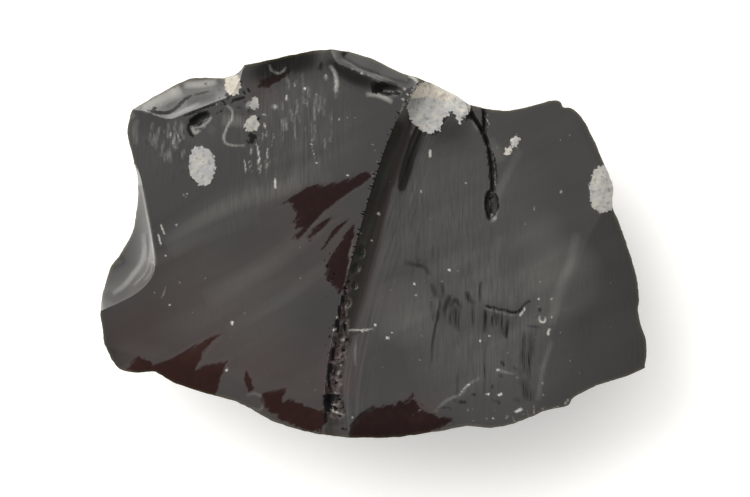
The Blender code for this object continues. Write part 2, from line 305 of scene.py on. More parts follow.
@dataclass(frozen=True)
class Dent:
    """A pit, or a lump where its depth is negative: an ellipse turned from +X."""

    x: float
    y: float
    long: float
    short: float
    turn: float
    depth: float

    def share(self, x: Array, y: Array) -> Array:
        """1 - r^2 inside the ellipse, where r is about 1 at its uneven edge, and 0 outside.

        Args:
            x, y: plan place of each point.

        Returns:
            The share at each point.
        """
        c, s = np.cos(np.radians(self.turn)), np.sin(np.radians(self.turn))
        across = ((x - self.x) * c + (y - self.y) * s) / self.long
        along = ((y - self.y) * c - (x - self.x) * s) / self.short
        return np.clip(1.0 - across ** 2 - along ** 2 - DENT_EDGE.at(x, y), 0.0, 1.0)

    def drop(self, x: Array, y: Array) -> Array:
        """Depth * (1 - r^2)^2 inside the ellipse."""
        return self.depth * self.share(x, y) ** 2


PATH_STEP = 0.25  # spacing of the points on arrises, cracks and outlines
RIM_STEP = 0.05  # the same on the rim
DENT_EDGE = Grain(0.35, 0.9, 61, 2)  # how uneven a dent's edge is
LUMP_CRUMBS = Grain(0.10, 0.6, 41)
FACET_STEP = 0.06  # depth of the step round a maroon facet
FACET_EDGE = (-0.25, 0.25)  # distances from its outline between which it falls
FACET_REACH = 1.2  # over this distance it fades to a third
CRUST_RISE = 0.07
CRUST_EDGE = (-0.1, 0.4)  # distances from a crust's outline between which it rises
CRUST_CRUMBS = Grain(0.10, 0.55, 43)
FACE_WAVES = Grain(0.010, 7.0, 11, 2)

RIM: Points = (
    (-32.3, -12.1), (-30.7, -14.8), (-29.0, -15.4), (-26.2, -15.3), (-26.2, -15.3),
    (-23.7, -16.7), (-19.4, -18.1), (-16.6, -18.8), (-11.3, -21.5), (-5.7, -22.9),
    (2.0, -23.2), (8.0, -22.4), (11.3, -21.8), (14.5, -22.0), (17.7, -21.2), (20.5, -20.0),
    (23.4, -19.3), (23.8, -18.6), (26.8, -17.0), (30.9, -15.7), (32.6, -14.9), (32.6, -14.9),
    (32.8, -12.1), (31.8, -8.5), (31.9, -6.5), (31.4, -3.1), (29.6, 2.2), (28.7, 4.6),
    (28.8, 6.8), (28.0, 9.0), (26.1, 13.3), (25.2, 15.0), (23.8, 16.3), (22.8, 16.5),
    (22.6, 17.0), (22.6, 17.0),
    (22.1, 17.3), (18.1, 16.4), (15.9, 16.0), (13.3, 16.3), (11.7, 16.7), (9.4, 18.1),
    (5.7, 19.7), (3.4, 20.5), (-0.4, 22.3), (-2.3, 22.9), (-4.0, 23.2), (-5.8, 23.2),
    (-10.0, 22.6), (-13.9, 21.7), (-15.5, 21.4), (-15.5, 21.4), (-16.1, 20.7), (-17.9, 20.0),
    (-21.8, 20.0), (-26.3, 17.9), (-28.9, 16.1), (-28.9, 16.1),
    (-29.5, 13.7), (-28.5, 8.8), (-28.3, 6.5), (-29.1, 1.6), (-30.8, -1.3), (-32.0, -3.1),
    (-32.8, -6.7), (-32.3, -12.1),
)
LOWER_LEFT, FOOT, LOWER_RIGHT = (-32.3, -12.1), (-5.7, -22.9), (32.6, -14.9)
UPPER_RIGHT, CREST_TOP, UPPER_LEFT = (25.2, 15.0), (5.7, 19.7), (-28.9, 16.1)

CREST: Points = (
    (-5.7, -22.9), (-5.9, -20.2), (-5.7, -16.0), (-5.1, -12.2), (-3.9, -6.7), (-2.2, -0.4),
    (-0.7, 5.0), (0.5, 8.8), (1.8, 12.5), (3.4, 16.0), (5.7, 19.7),
)

LEFT_SHEET = Sheet(-2.0, 4.0, 17.7, 190.0)
RIGHT_SHEET = Sheet(5.0, -14.0, 15.7, 240.0)

LEFT_SCARS = {
    "left_flank": Scar(
        ((-34.0, -8.6), (-32.0, -7.7), (-30.2, -6.9), (-28.4, -5.9), (-26.9, -4.5),
         (-26.2, -3.0), (-26.5, 0.5), (-27.3, 4.7), (-28.1, 8.6), (-29.6, 11.0)), 13.0, 3.2),
    "upper_left_shelf": Scar(
        ((-28.9, 16.1), (-27.4, 15.9), (-25.6, 15.2), (-24.2, 15.0), (-22.4, 15.7),
         (-19.0, 17.0), (-17.0, 17.9), (-16.0, 19.7), (-15.5, 21.4)), 8.0, 2.6),
    "hump_bevel": Scar(
        ((-5.6, 24.0), (-4.3, 21.7), (-3.2, 21.2), (-1.4, 20.5), (0.7, 19.6),
         (3.1, 18.8), (4.1, 18.6), (6.2, 20.0)), 6.0, 3.2),
    "lower_left_bevel": Scar(
        ((-4.0, -19.2), (-10.0, -18.1), (-13.4, -17.8), (-17.8, -15.7), (-23.2, -14.2),
         (-28.4, -13.4), (-33.2, -12.0)), 1.2, 6.5),
}
RIGHT_SCARS = {
    "right_bevel": Scar(
        ((22.0, 17.9), (24.0, 15.1), (25.1, 13.1), (25.9, 11.1), (28.4, 8.2)), 0.15, 2.4),
    "right_facet": Scar(
        ((29.4, 7.4), (25.5, 0.2), (24.5, -2.6), (21.9, -9.1), (20.7, -13.9),
         (18.9, -21.6)), 1.9, 24.0),
    "lower_right_bevel": Scar(
        ((11.4, -22.6), (7.0, -20.0), (5.1, -18.7), (2.2, -18.8), (-0.4, -19.2),
         (-3.4, -20.8), (-6.6, -21.2)), 1.6, 7.0),
}

DENTS = {
    "shelf_hollow": Dent(-20.8, 14.8, 1.6, 0.8, 25.0, 0.6),
    "crest_top_chip": Dent(1.5, 18.5, 1.8, 0.9, -12.0, 0.7),
    "crack_end_pit": Dent(14.1, 4.6, 2.0, 0.8, 92.0, 0.9),
    "crest_foot_pit": Dent(-5.2, -18.8, 1.0, 0.8, 60.0, 0.8),
    "crust_main_lobe": Dent(6.5, 15.4, 2.6, 2.2, 70.0, -0.35),
    "crust_top_lump": Dent(5.6, 18.1, 1.1, 0.9, 0.0, -0.5),
    "crust_small_lump": Dent(8.1, 18.0, 0.8, 0.7, 0.0, -0.4),
    "crust_right_lobe": Dent(10.3, 16.2, 2.1, 1.3, -45.0, -0.3),
    "right_edge_lump": Dent(27.5, 6.7, 2.7, 1.5, 100.0, -0.3),
    "shelf_crust": Dent(-16.9, 19.2, 1.2, 1.0, 40.0, -0.6),
    "hump_crust": Dent(-14.7, 16.4, 0.9, 0.6, 90.0, -0.3),
}

CRACK: Points = ((11.3, 17.2), (11.9, 15.4), (13.3, 13.2), (14.1, 10.1), (14.3, 6.4))
CRACK_FORK: Points = ((13.2, 16.8), (13.4, 15.0), (13.3, 13.2))


@dataclass(frozen=True)
class Crest:
    """The step between the two sheets, its crumbled ledge and its fine ribs.

    Widths are given at shares of the crest's length, starts and stops are the shares
    between which a form eases in or out, and a reach is the distance over which a relief
    fades to a third. A stretch is how much longer than wide a rib or ripple is.

    Attributes:
        terrace_height: height of the lower step along the upper half of the band.
        pit_offset: how far the ledge's pits stand to the right of the crest.
        pit_radius: a pit's long half; pit_short is its short half as a share of that.
        pit_swell: the pits' sizes swell and shrink by this share,
        pit_beat: by this angle in radians from one pit to the next.
    """

    band_shares: tuple[float, ...] = (0.0, 0.18, 0.28, 0.39, 0.48, 0.55, 0.61, 0.77, 0.85, 1.0)
    band_widths: tuple[float, ...] = (2.2, 2.4, 3.1, 3.5, 3.4, 3.25, 2.9, 2.55, 2.3, 1.9)
    ledge_shares: tuple[float, ...] = (0.03, 0.07, 0.17, 0.25, 0.33, 0.42)
    ledge_widths: tuple[float, ...] = (2.4, 2.5, 2.0, 2.3, 1.5, 0.9)
    ledge_starts: Pair = (0.03, 0.06)
    ledge_stops: Pair = (0.40, 0.45)
    terrace_height: float = 0.42
    terrace_width: float = 1.3
    terrace_starts: Pair = (0.64, 0.74)
    pits: int = 10
    pit_span: Pair = (0.08, 0.50)
    pit_offset: float = 0.9
    pit_radius: float = 0.75
    pit_short: float = 0.8
    pit_turn: float = 75.0
    pit_depth: float = 0.55
    pit_swell: float = 0.3
    pit_beat: float = 2.4
    crumbs: Grain = Grain(0.20, 0.75, 31)
    rib_height: float = 0.006
    rib_spacing: float = 0.55
    rib_reach: float = 4.0
    rib_stretch: float = 30.0
    ripple_height: float = 0.008
    ripple_spacing: float = 0.5
    ripple_reach: float = 1.6
    ripple_stretch: float = 6.0

    def path(self) -> Array:
        """The crest as fine even points, from its foot to its top."""
        return smooth_path(CREST, PATH_STEP)

    def run(self, near: Nearness) -> Array:
        """Distance along the crest of each point's nearest place."""
        return near.share * lengths(self.path())[-1]

    def band_width(self, near: Nearness) -> Array:
        """Width of the scarp's band at each point's share of the crest."""
        return np.interp(near.share, self.band_shares, self.band_widths)

    def fall(self, beyond: Array, width: Array) -> Array:
        """Share of the crest's height left beyond it: (1 - distance / band width)^2."""
        return np.clip(1.0 - beyond / width, 0.0, 1.0) ** 2

    def terrace(self, beyond: Array, width: Array, near: Nearness) -> Array:
        """A second, lower step that runs along the upper half of the band."""
        step = 1.0 - ease(beyond, width, width + self.terrace_width)
        return self.terrace_height * ease(near.share, *self.terrace_starts) * step

    def ledge_dents(self) -> list[Dent]:
        """Pits of the crumbled ledge, spaced along the crest and set to its right.

        Returns:
            The pits, whose sizes swell and shrink as a sine along the ledge.
        """
        places = resample(self.path(), np.linspace(*self.pit_span, self.pits))
        dents = []
        for index, (x, y) in enumerate(places):
            swell = 1.0 + self.pit_swell * np.sin(self.pit_beat * index)
            radius = self.pit_radius * swell
            dents.append(Dent(x + self.pit_offset / swell, y, radius, self.pit_short * radius,
                              self.pit_turn, self.pit_depth * swell))
        return dents

    def ledge(self, near: Nearness) -> Array:
        """Share of crumbling: 1 along the ledge's middle, easing to 0 at its edges and ends.

        Args:
            near: how the points lie to the crest.

        Returns:
            The share at each point.
        """
        beyond = near.far * -near.side
        width = np.interp(near.share, self.ledge_shares, self.ledge_widths)
        across = ease(beyond, -0.10, 0.15) * (1.0 - ease(beyond, width - 0.5, width + 0.1))
        starts, stops = ease(near.share, *self.ledge_starts), ease(near.share, *self.ledge_stops)
        return across * starts * (1.0 - stops)

    def relief(self, x: Array, y: Array, near: Nearness) -> Array:
        """Ribs along the scarp and ripples across its band, and the ledge's crumbs.

        Ribs and ripples are noise on the distances beyond and along the crest, one of
        them drawn out, that fades by exp(-distance / reach).

        Args:
            x, y: plan place of each point.
            near: how the points lie to the crest.

        Returns:
            Their height at each point.
        """
        beyond, run = near.far * -near.side, self.run(near)
        ribs = self.rib_height * np.exp(-beyond / self.rib_reach) * lattice_noise(
            beyond, run / self.rib_stretch, self.rib_spacing, 21)
        ripples = self.ripple_height * np.exp(-beyond / self.ripple_reach) * lattice_noise(
            beyond / self.ripple_stretch, run, self.ripple_spacing, 23)
        return np.where(beyond > 0.0, ribs + ripples, 0.0) + self.ledge(near) * self.crumbs.at(x, y)


@dataclass(frozen=True)
class Crack:
    """A forked crack: a V as wide as the crack about its two lines."""

    half_width: float = 0.32
    depth: float = 0.6
    ragged: Grain = Grain(0.14, 0.7, 51, 2)

    def paths(self) -> list[Array]:
        """Its main course and its other branch, as fine even points."""
        return [smooth_path(line, PATH_STEP) for line in (CRACK, CRACK_FORK)]

    def gap(self, x: Array, y: Array) -> Array:
        """Distance to the nearer of its two lines, made ragged by noise."""
        gap = np.minimum(*(nearness(x, y, path).far for path in self.paths()))
        return gap + self.ragged.at(x, y)

    def drop(self, x: Array, y: Array) -> Array:
        """Depth * (1 - gap / half width) inside the crack."""
        return self.depth * np.clip(1.0 - self.gap(x, y) / self.half_width, 0.0, 1.0)


# ---------------- marks on the glass


class Layer(Enum):
    """What a mark does to the glass; each layer is one value for each point."""

    # milky colour in the glass, partly real haze and partly painted sheen and painted highlights
    MILK = "milk"
    # painted shade: black in breaks, cracks, pits and scratches
    SOOT = "soot"
    # painted soft shade: dark veils, which also lean the normal a little
    SMUDGE = "smudge"
    POWDER = "powder"
    BLUSH = "blush"
    BRUSHED = "brushed"
    TURN = "turn"
    FLATTEN = "flatten"


@dataclass(frozen=True)
class Mark:
    """A line on the glass, or a spot where it has one point, strongest in its middle."""

    points: Points
    half_width: float
    strength: float

    def value(self, x: Array, y: Array) -> Array:
        """Strength * (1 - (distance / half width)^2), and 0 further away.

        Lines weaken towards their ends, by (4 * share * (1 - share)) ** 0.3.

        Args:
            x, y: plan place of each point.

        Returns:
            The mark at each point.
        """
        total = np.zeros_like(x)
        given = np.array(self.points)
        low, high = given.min(axis=0) - self.half_width, given.max(axis=0) + self.half_width
        box = np.flatnonzero((x > low[0]) & (x < high[0]) & (y > low[1]) & (y < high[1]))
        if not box.size:
            return total
        if len(given) == 1:
            far, fade = np.hypot(x[box] - given[0, 0], y[box] - given[0, 1]), 1.0
        else:
            path = smooth_path(self.points, PATH_STEP) if len(given) > 2 else given
            near = nearness(x[box], y[box], path)
            far = near.far
            fade = np.clip(4.0 * near.share * (1.0 - near.share), 0.0, 1.0) ** 0.3
        total[box] = self.strength * fade * np.clip(1.0 - (far / self.half_width) ** 2, 0.0, 1.0)
        return total


def strokes(*rows: tuple) -> tuple[Mark, ...]:
    """Marks from rows of a half width, a strength and then each of the mark's points."""
    return tuple(Mark(row[2:], row[0], row[1]) for row in rows)


@dataclass(frozen=True)
class Scratches:
    """Short, nearly parallel marks strewn over a patch.

    Attributes:
        corner: the patch's lower left corner.
        size: its width and height.
        count: how many marks it has.
        length: shortest and longest mark.
        slant: how far a mark moves along X for each step up.
        half_width: half width of each mark.
        strength: most that a mark has.
        seed: start of its random draws.
    """

    corner: Pair
    size: Pair
    count: int
    length: Pair
    slant: float
    half_width: float
    strength: float
    seed: int

    def marks(self) -> list[Mark]:
        """The patch's marks, each hanging down from its upper end.

        Returns:
            The marks, in the order in which they are drawn.
        """
        draw = np.random.default_rng(self.seed)
        tops = np.array(self.corner) + draw.uniform(0.0, 1.0, (self.count, 2)) * self.size
        drops = draw.uniform(*self.length, self.count)
        strengths = self.strength * draw.uniform(0.4, 1.0, self.count)
        ends = tops - np.column_stack([self.slant * drops, drops])
        return [Mark((tuple(top), tuple(end)), self.half_width, float(strength))
                for top, end, strength in zip(tops, ends, strengths)]


SHEENS = strokes(  # painted sheen: broad soft patches that lighten the face, and one that darkens it
    (2.4, 0.07, (-25.0, -0.1), (-18.9, 3.8), (-5.2, 8.9)), (8.0, 0.05, (-8.0, 13.1)),
    (10.0, 0.06, (-17.0, -8.0)), (12.0, 0.06, (11.6, 2.3)), (4.6, 0.12, (3.8, -8.2)),
    (11.0, 0.1, (14.0, -10.9)), (2.6, -0.06, (7.5, -7.6), (12.0, -8.4), (17.0, -9.6)),
    (5.5, 0.13, (22.4, -3.7)), (4.0, 0.06, (19.4, 1.1)),
    (0.7, 0.12, (24.4, 1.4), (23.6, -2.2), (22.5, -4.9), (21.8, -7.3), (21.4, -9.7)),
    (0.36, 0.17, (21.4, -11.5), (20.9, -13.0), (20.3, -14.9), (20.0, -16.9), (19.7, -18.8)),
    (1.0, 0.1, (13.7, 12.4), (14.6, 11.3), (15.2, 9.8)),
)

VEILS = strokes(  # thin pale films, arcs and flow lines
    (0.17, 0.75, (-17.6, 16.6), (-17.0, 16.1), (-16.9, 15.2), (-17.5, 14.0), (-17.9, 12.7),
     (-17.7, 12.1), (-16.9, 11.8), (-15.3, 11.8)),
    (0.9, 0.16, (-18.2, 14.9), (-15.4, 14.6)), (0.6, 0.05, (-19.0, 14.0), (-19.9, 13.3)),
    (0.3, 0.85, (-5.2, 21.4), (-4.6, 20.4), (-4.4, 19.2), (-4.5, 18.1)),
    (0.17, 0.55, (-12.5, 21.5), (-12.2, 20.8), (-11.3, 20.4), (-10.7, 20.8), (-10.5, 21.2)),
    (0.34, 0.95, (-0.9, 17.9), (0.5, 17.8), (1.7, 17.3), (2.3, 16.9)),
    (0.4, 0.15, (-0.3, 20.0), (1.1, 19.7)), (0.2, 0.55, (3.2, 14.8), (3.4, 15.8), (3.7, 16.8)),
    (0.22, 0.25, (11.8, 15.1), (12.5, 13.6)),
    (0.22, 0.26, (12.8, -16.0), (11.3, -16.9), (10.4, -18.0), (8.7, -18.8), (7.1, -20.5)),
    (0.22, 0.28, (-15.2, -18.2), (-14.5, -17.9), (-13.5, -18.2), (-13.1, -19.1), (-13.7, -19.9),
     (-14.8, -19.6)),
    (0.2, 0.3, (-2.1, -10.9), (-2.2, -12.7), (-2.2, -14.6)),
    (0.34, 0.7, (-5.5, -19.8), (-4.5, -20.2), (-3.5, -20.6)),
    (0.24, 0.26, (13.3, -7.7), (14.6, -8.0), (15.8, -8.4), (17.1, -8.5)),
    (0.2, 0.3, (14.8, -15.1), (16.0, -15.4), (16.9, -15.6)),
    (0.4, 0.22, (-28.3, 15.0), (-28.6, 13.7), (-28.4, 11.9)),
    (0.4, 0.25, (-29.1, 15.7), (-28.7, 15.1)),
    (0.26, 0.75, (-21.8, 13.9), (-21.3, 13.3), (-20.8, 13.7)),
    (0.22, 0.45, (-20.5, 13.9), (-20.1, 14.2)), (0.22, 0.3, (-10.6, 15.1), (-10.4, 13.6)),
    (0.4, 0.6, (-11.8, 16.4)), (0.2, 0.7, (-10.4, 17.8), (-10.4, 17.2)),
    (0.24, 0.5, (-5.7, 20.3), (-5.7, 19.6)), (1.2, 0.07, (-25.0, -0.1), (-17.2, 4.7), (-8.8, 7.3)),
    (1.0, 0.06, (-26.8, -2.2), (-20.8, 0.5), (-13.6, 3.5)),
    (1.6, 0.07, (-20.2, -6.7), (-13.6, -3.1), (-6.4, 2.3)),
    (1.0, 0.06, (-17.8, -10.3), (-11.2, -6.7), (-5.2, -2.2)),
    (0.7, 0.06, (15.2, 1.1), (13.9, -4.3)), (0.6, 0.1, (17.6, 11.3), (15.2, 6.5), (14.6, 3.5)),
    (1.4, 0.05, (22.4, -6.7), (17.6, -10.3), (11.6, -15.4)),
    (0.16, 0.3, (-2.5, 0.7), (-2.9, -2.2), (-3.5, -5.5)),
)


@dataclass(frozen=True)
class ScarMarks:
    """Marks that stop at a scar's arris: painted highlights along its curved wall, and places where
    it is less steep.
    """

    milk: tuple[Mark, ...]
    flatten: tuple[Mark, ...]


# each scar's milky marks are painted highlights where its wall would reflect bright light
SCAR_MARKS = {
    "left_flank": ScarMarks(
        milk=strokes(
            (0.26, 0.55, (-27.7, 6.7), (-27.3, 4.8), (-27.1, 3.4), (-26.8, 1.9), (-26.6, 0.5),
             (-26.3, -1.0), (-26.1, -2.6)),
            (0.42, 0.4, (-27.7, 1.4), (-27.6, -0.5), (-28.0, -2.2), (-29.0, -3.6), (-30.1, -5.0),
             (-31.5, -6.0)),
            (0.16, 0.3, (-26.9, -1.4), (-27.2, -2.9), (-27.9, -4.0), (-28.9, -5.0)),
            (0.14, 0.3, (-26.5, -2.2), (-26.8, -3.5), (-27.5, -4.4))),
        flatten=strokes(
            (2.6, 0.2, (-28.0, 7.1), (-28.3, 4.1), (-28.7, 1.4), (-29.9, -1.4), (-31.4, -4.3),
             (-32.3, -6.7)),
            (1.6, 0.32, (-26.3, -2.4), (-27.1, -4.1), (-28.5, -5.5), (-30.7, -6.7), (-32.6, -7.4)),
            (0.22, 0.16, (-27.2, 1.2), (-27.1, -0.7), (-27.2, -2.2)))),
    "upper_left_shelf": ScarMarks(
        milk=strokes(
            (1.15, 0.9, (-27.8, 16.4), (-26.8, 16.9), (-25.1, 17.8), (-23.3, 18.8)),
            (0.55, 0.7, (-22.9, 19.2), (-20.8, 19.3), (-18.8, 19.6)),
            (1.5, 0.26, (-24.0, 17.7), (-22.0, 18.6), (-19.0, 19.2)),
            (0.3, 0.45, (-25.1, 15.2), (-24.1, 15.4), (-23.0, 15.9), (-21.9, 16.4), (-20.8, 16.9))),
        flatten=strokes(
            (1.0, 0.2, (-22.5, 17.2), (-20.8, 17.5), (-18.9, 17.8)),
            (0.6, 0.1, (-22.7, 18.1), (-20.1, 18.1)))),
    "hump_bevel": ScarMarks(
        milk=strokes(
            (0.17, 0.35, (-4.0, 22.1), (-2.8, 21.6), (-2.0, 21.0), (-0.9, 20.5), (0.3, 20.2),
             (1.5, 19.8), (2.7, 19.2))),
        flatten=strokes(
            (2.0, 0.42, (-4.6, 22.3), (-2.6, 21.8), (-0.9, 21.2), (0.8, 20.8), (3.2, 19.9),
             (4.9, 19.4)))),
}

BREAKS = strokes(  # painted shade: black in deep breaks whose walls face away from the light
    # under the shelf and beside the hump
    (0.36, 1.0, (-27.2, 16.0), (-25.9, 15.8), (-24.7, 15.8), (-23.8, 16.3), (-23.2, 16.9),
     (-22.6, 17.5), (-21.7, 17.9)),
    (0.2, 0.75, (-21.7, 17.9), (-20.5, 18.2), (-19.5, 18.4)),
    (0.25, 1.0, (-26.6, 16.2), (-26.0, 16.4)),
    (0.2, 0.95, (-22.9, 15.2), (-21.4, 15.8), (-20.0, 16.4), (-18.8, 16.8)),
    (0.32, 0.8, (-20.2, 19.3)), (0.42, 1.1, (-17.7, 18.1), (-17.2, 17.6)),
    (0.3, 1.0, (-16.9, 17.2), (-16.0, 17.4), (-15.3, 17.6)),
    (0.26, 0.8, (-18.2, 17.3), (-17.6, 16.6)), (0.22, 0.8, (-15.7, 18.5), (-15.3, 17.8)),
    (0.2, 0.6, (-16.5, 16.4), (-15.7, 16.2)), (0.25, 0.7, (-15.2, 18.7), (-14.7, 18.1)),
    (0.62, 1.7, (-21.9, 14.4), (-21.1, 15.0), (-20.2, 15.4), (-19.6, 15.5)),
    (0.3, 1.1, (-22.1, 14.5), (-22.1, 13.6), (-21.5, 12.7)),
    (0.42, 1.3, (-14.9, 13.3), (-14.5, 12.7), (-14.7, 12.0)),
    (0.22, 0.9, (-14.2, 13.2), (-14.0, 12.5)), (0.18, 0.7, (-15.2, 12.5), (-14.9, 11.9)),
    (0.28, 0.8, (-14.1, 15.0), (-13.5, 15.1)),
    (0.2, 0.6, (-19.3, 15.2), (-18.5, 15.8), (-17.8, 16.3)),
    # round the chip at the crest's top
    (0.62, 1.7, (-0.1, 18.2), (1.3, 19.0), (2.9, 18.7)), (0.3, 1.0, (-0.2, 18.4), (0.3, 18.0)),
    (0.3, 1.0, (1.7, 17.8), (2.5, 18.1), (3.3, 17.9)), (0.3, 0.8, (-4.6, 21.4), (-4.3, 21.5)),
    (0.25, 0.7, (-3.7, 21.4)),
    # along the lower half of the crest
    (0.24, 1.6, (-3.7, -6.1), (-3.7, -7.1)), (0.24, 1.6, (-4.1, -7.3), (-4.1, -8.9)),
    (0.34, 1.6, (-4.4, -9.0), (-4.3, -10.6)), (0.26, 1.3, (-3.5, -9.4), (-3.4, -10.4)),
    (0.24, 1.5, (-4.8, -12.4), (-4.9, -14.0)), (0.38, 1.4, (-5.2, -14.2), (-5.2, -15.5)),
    (0.2, 1.3, (-5.4, -15.4), (-5.3, -17.3)), (0.22, 1.6, (-6.2, -18.2), (-4.0, -18.2)),
    (0.58, 1.7, (-5.6, -18.1), (-5.4, -19.3), (-5.5, -20.2)),
    (0.45, 1.3, (-4.9, -18.2), (-4.7, -19.1)), (0.32, 1.1, (-5.8, -20.2), (-5.7, -21.5)),
    (0.25, 0.9, (-4.3, -18.5), (-4.6, -19.2)), (0.28, 0.6, (-4.1, -22.1), (-3.1, -22.3)),
    # at the end of the crack
    (0.2, 1.1, (14.0, 6.6), (13.5, 5.4), (13.5, 4.1), (14.0, 2.8)),
    (0.26, 1.1, (14.2, 6.6), (14.8, 5.5), (14.8, 4.3), (14.2, 3.0)),
    (0.52, 1.3, (14.2, 5.8), (14.4, 4.6), (14.2, 3.6)),
    (0.26, 0.75, (14.2, 11.4), (14.6, 9.6), (14.8, 6.9)),
)

SOFT_SHADES = strokes(  # painted soft shade, broken, with teeth that hang down
    (0.42, 0.95, (3.8, -2.2), (5.0, -2.5), (6.1, -2.8), (6.7, -3.8)),
    (0.5, 0.8, (6.9, -4.7), (7.3, -5.6), (7.5, -6.5)),
    (0.36, 0.85, (8.2, -4.6), (8.3, -5.8), (8.1, -6.7)),
    (0.46, 1.0, (9.1, -6.0), (8.8, -7.1), (8.3, -8.2)),
    (0.42, 0.9, (9.1, -7.8), (9.8, -6.7), (10.5, -7.8)), (0.34, 0.85, (9.3, -7.7), (9.2, -9.8)),
    (0.4, 0.9, (9.9, -7.4), (9.8, -10.2)), (0.3, 0.8, (10.4, -7.2), (10.1, -10.7)),
    (0.5, 0.75, (11.1, -5.6), (11.6, -6.8), (12.2, -7.3)), (0.3, 0.85, (12.8, -4.4), (12.7, -7.1)),
    (0.3, 0.75, (11.9, -7.1), (11.9, -10.0)), (0.16, 0.6, (6.8, -6.6), (6.8, -9.0)),
    (0.3, 0.95, (13.3, -7.3), (14.0, -7.6), (14.8, -7.6)),
    (0.34, 1.05, (13.4, -7.7), (13.3, -10.8)), (0.26, 0.8, (14.2, -8.4), (14.1, -10.0)),
    (0.26, 0.85, (14.8, -8.2), (14.7, -10.0)), (0.26, 0.85, (15.4, -8.4), (15.4, -11.0)),
    (0.3, 1.0, (16.1, -8.9), (15.9, -11.4)),
    (0.3, 0.95, (14.3, -7.4), (14.9, -7.8), (15.8, -7.9), (16.6, -8.2), (17.5, -8.0),
     (18.1, -7.2), (19.0, -6.7)),
    (0.4, 0.8, (19.6, -7.9), (20.2, -7.9)),
    (0.17, 1.25, (8.1, -6.6), (7.7, -8.3), (7.3, -10.4), (7.0, -12.7), (6.9, -14.4)),
    (0.2, 1.0, (7.9, -7.9), (7.6, -9.4)),
    (0.42, 0.72, (18.1, -10.3), (18.0, -13.0), (18.1, -15.8)),
    (0.36, 0.72, (18.8, -10.0), (18.7, -12.7), (18.7, -16.4)),
    (0.3, 0.6, (18.2, -9.8), (20.1, -10.0)),
    (0.85, 0.66, (17.7, -16.1), (18.3, -17.3), (18.4, -19.0)),
    (0.45, 0.55, (19.1, -17.3), (19.0, -19.0)), (0.6, 0.5, (16.6, -18.5), (17.8, -19.0)),
    (0.2, 0.62, (10.1, -10.7), (10.1, -12.5)), (0.24, 0.75, (10.1, -15.4), (10.0, -18.2)),
    (0.2, 0.7, (13.4, -11.5), (13.4, -13.3), (13.3, -15.1), (13.3, -18.2)),
    (0.32, 0.9, (15.3, -13.9), (15.7, -14.8)), (0.28, 0.85, (15.2, -15.5), (15.4, -16.1)),
    (0.26, 0.7, (16.7, -14.6), (17.2, -15.2)), (0.26, 0.9, (14.2, -16.8), (14.3, -17.4)),
    (0.26, 0.85, (11.6, -18.0), (12.5, -18.1)), (0.36, 1.0, (10.1, -18.9), (11.2, -19.0)),
    (0.26, 0.8, (9.5, -18.5), (9.8, -19.0)),
    (0.2, 0.85, (7.5, -19.9), (8.3, -19.6), (9.2, -19.7), (9.3, -20.2)),
    (0.3, 0.8, (14.7, -18.6), (15.2, -19.3)), (0.24, 0.7, (14.1, -18.4), (14.5, -19.1)),
    (0.2, 0.5, (19.1, -8.5), (20.1, -8.9)), (0.16, 0.5, (-25.3, 14.0), (-24.9, 12.8)),
    (0.22, 0.6, (-2.5, -10.9), (-2.0, -10.7), (-1.0, -10.4), (0.1, -10.4)),
    (0.3, 0.25, (4.4, 13.7), (4.1, 8.9)),
)

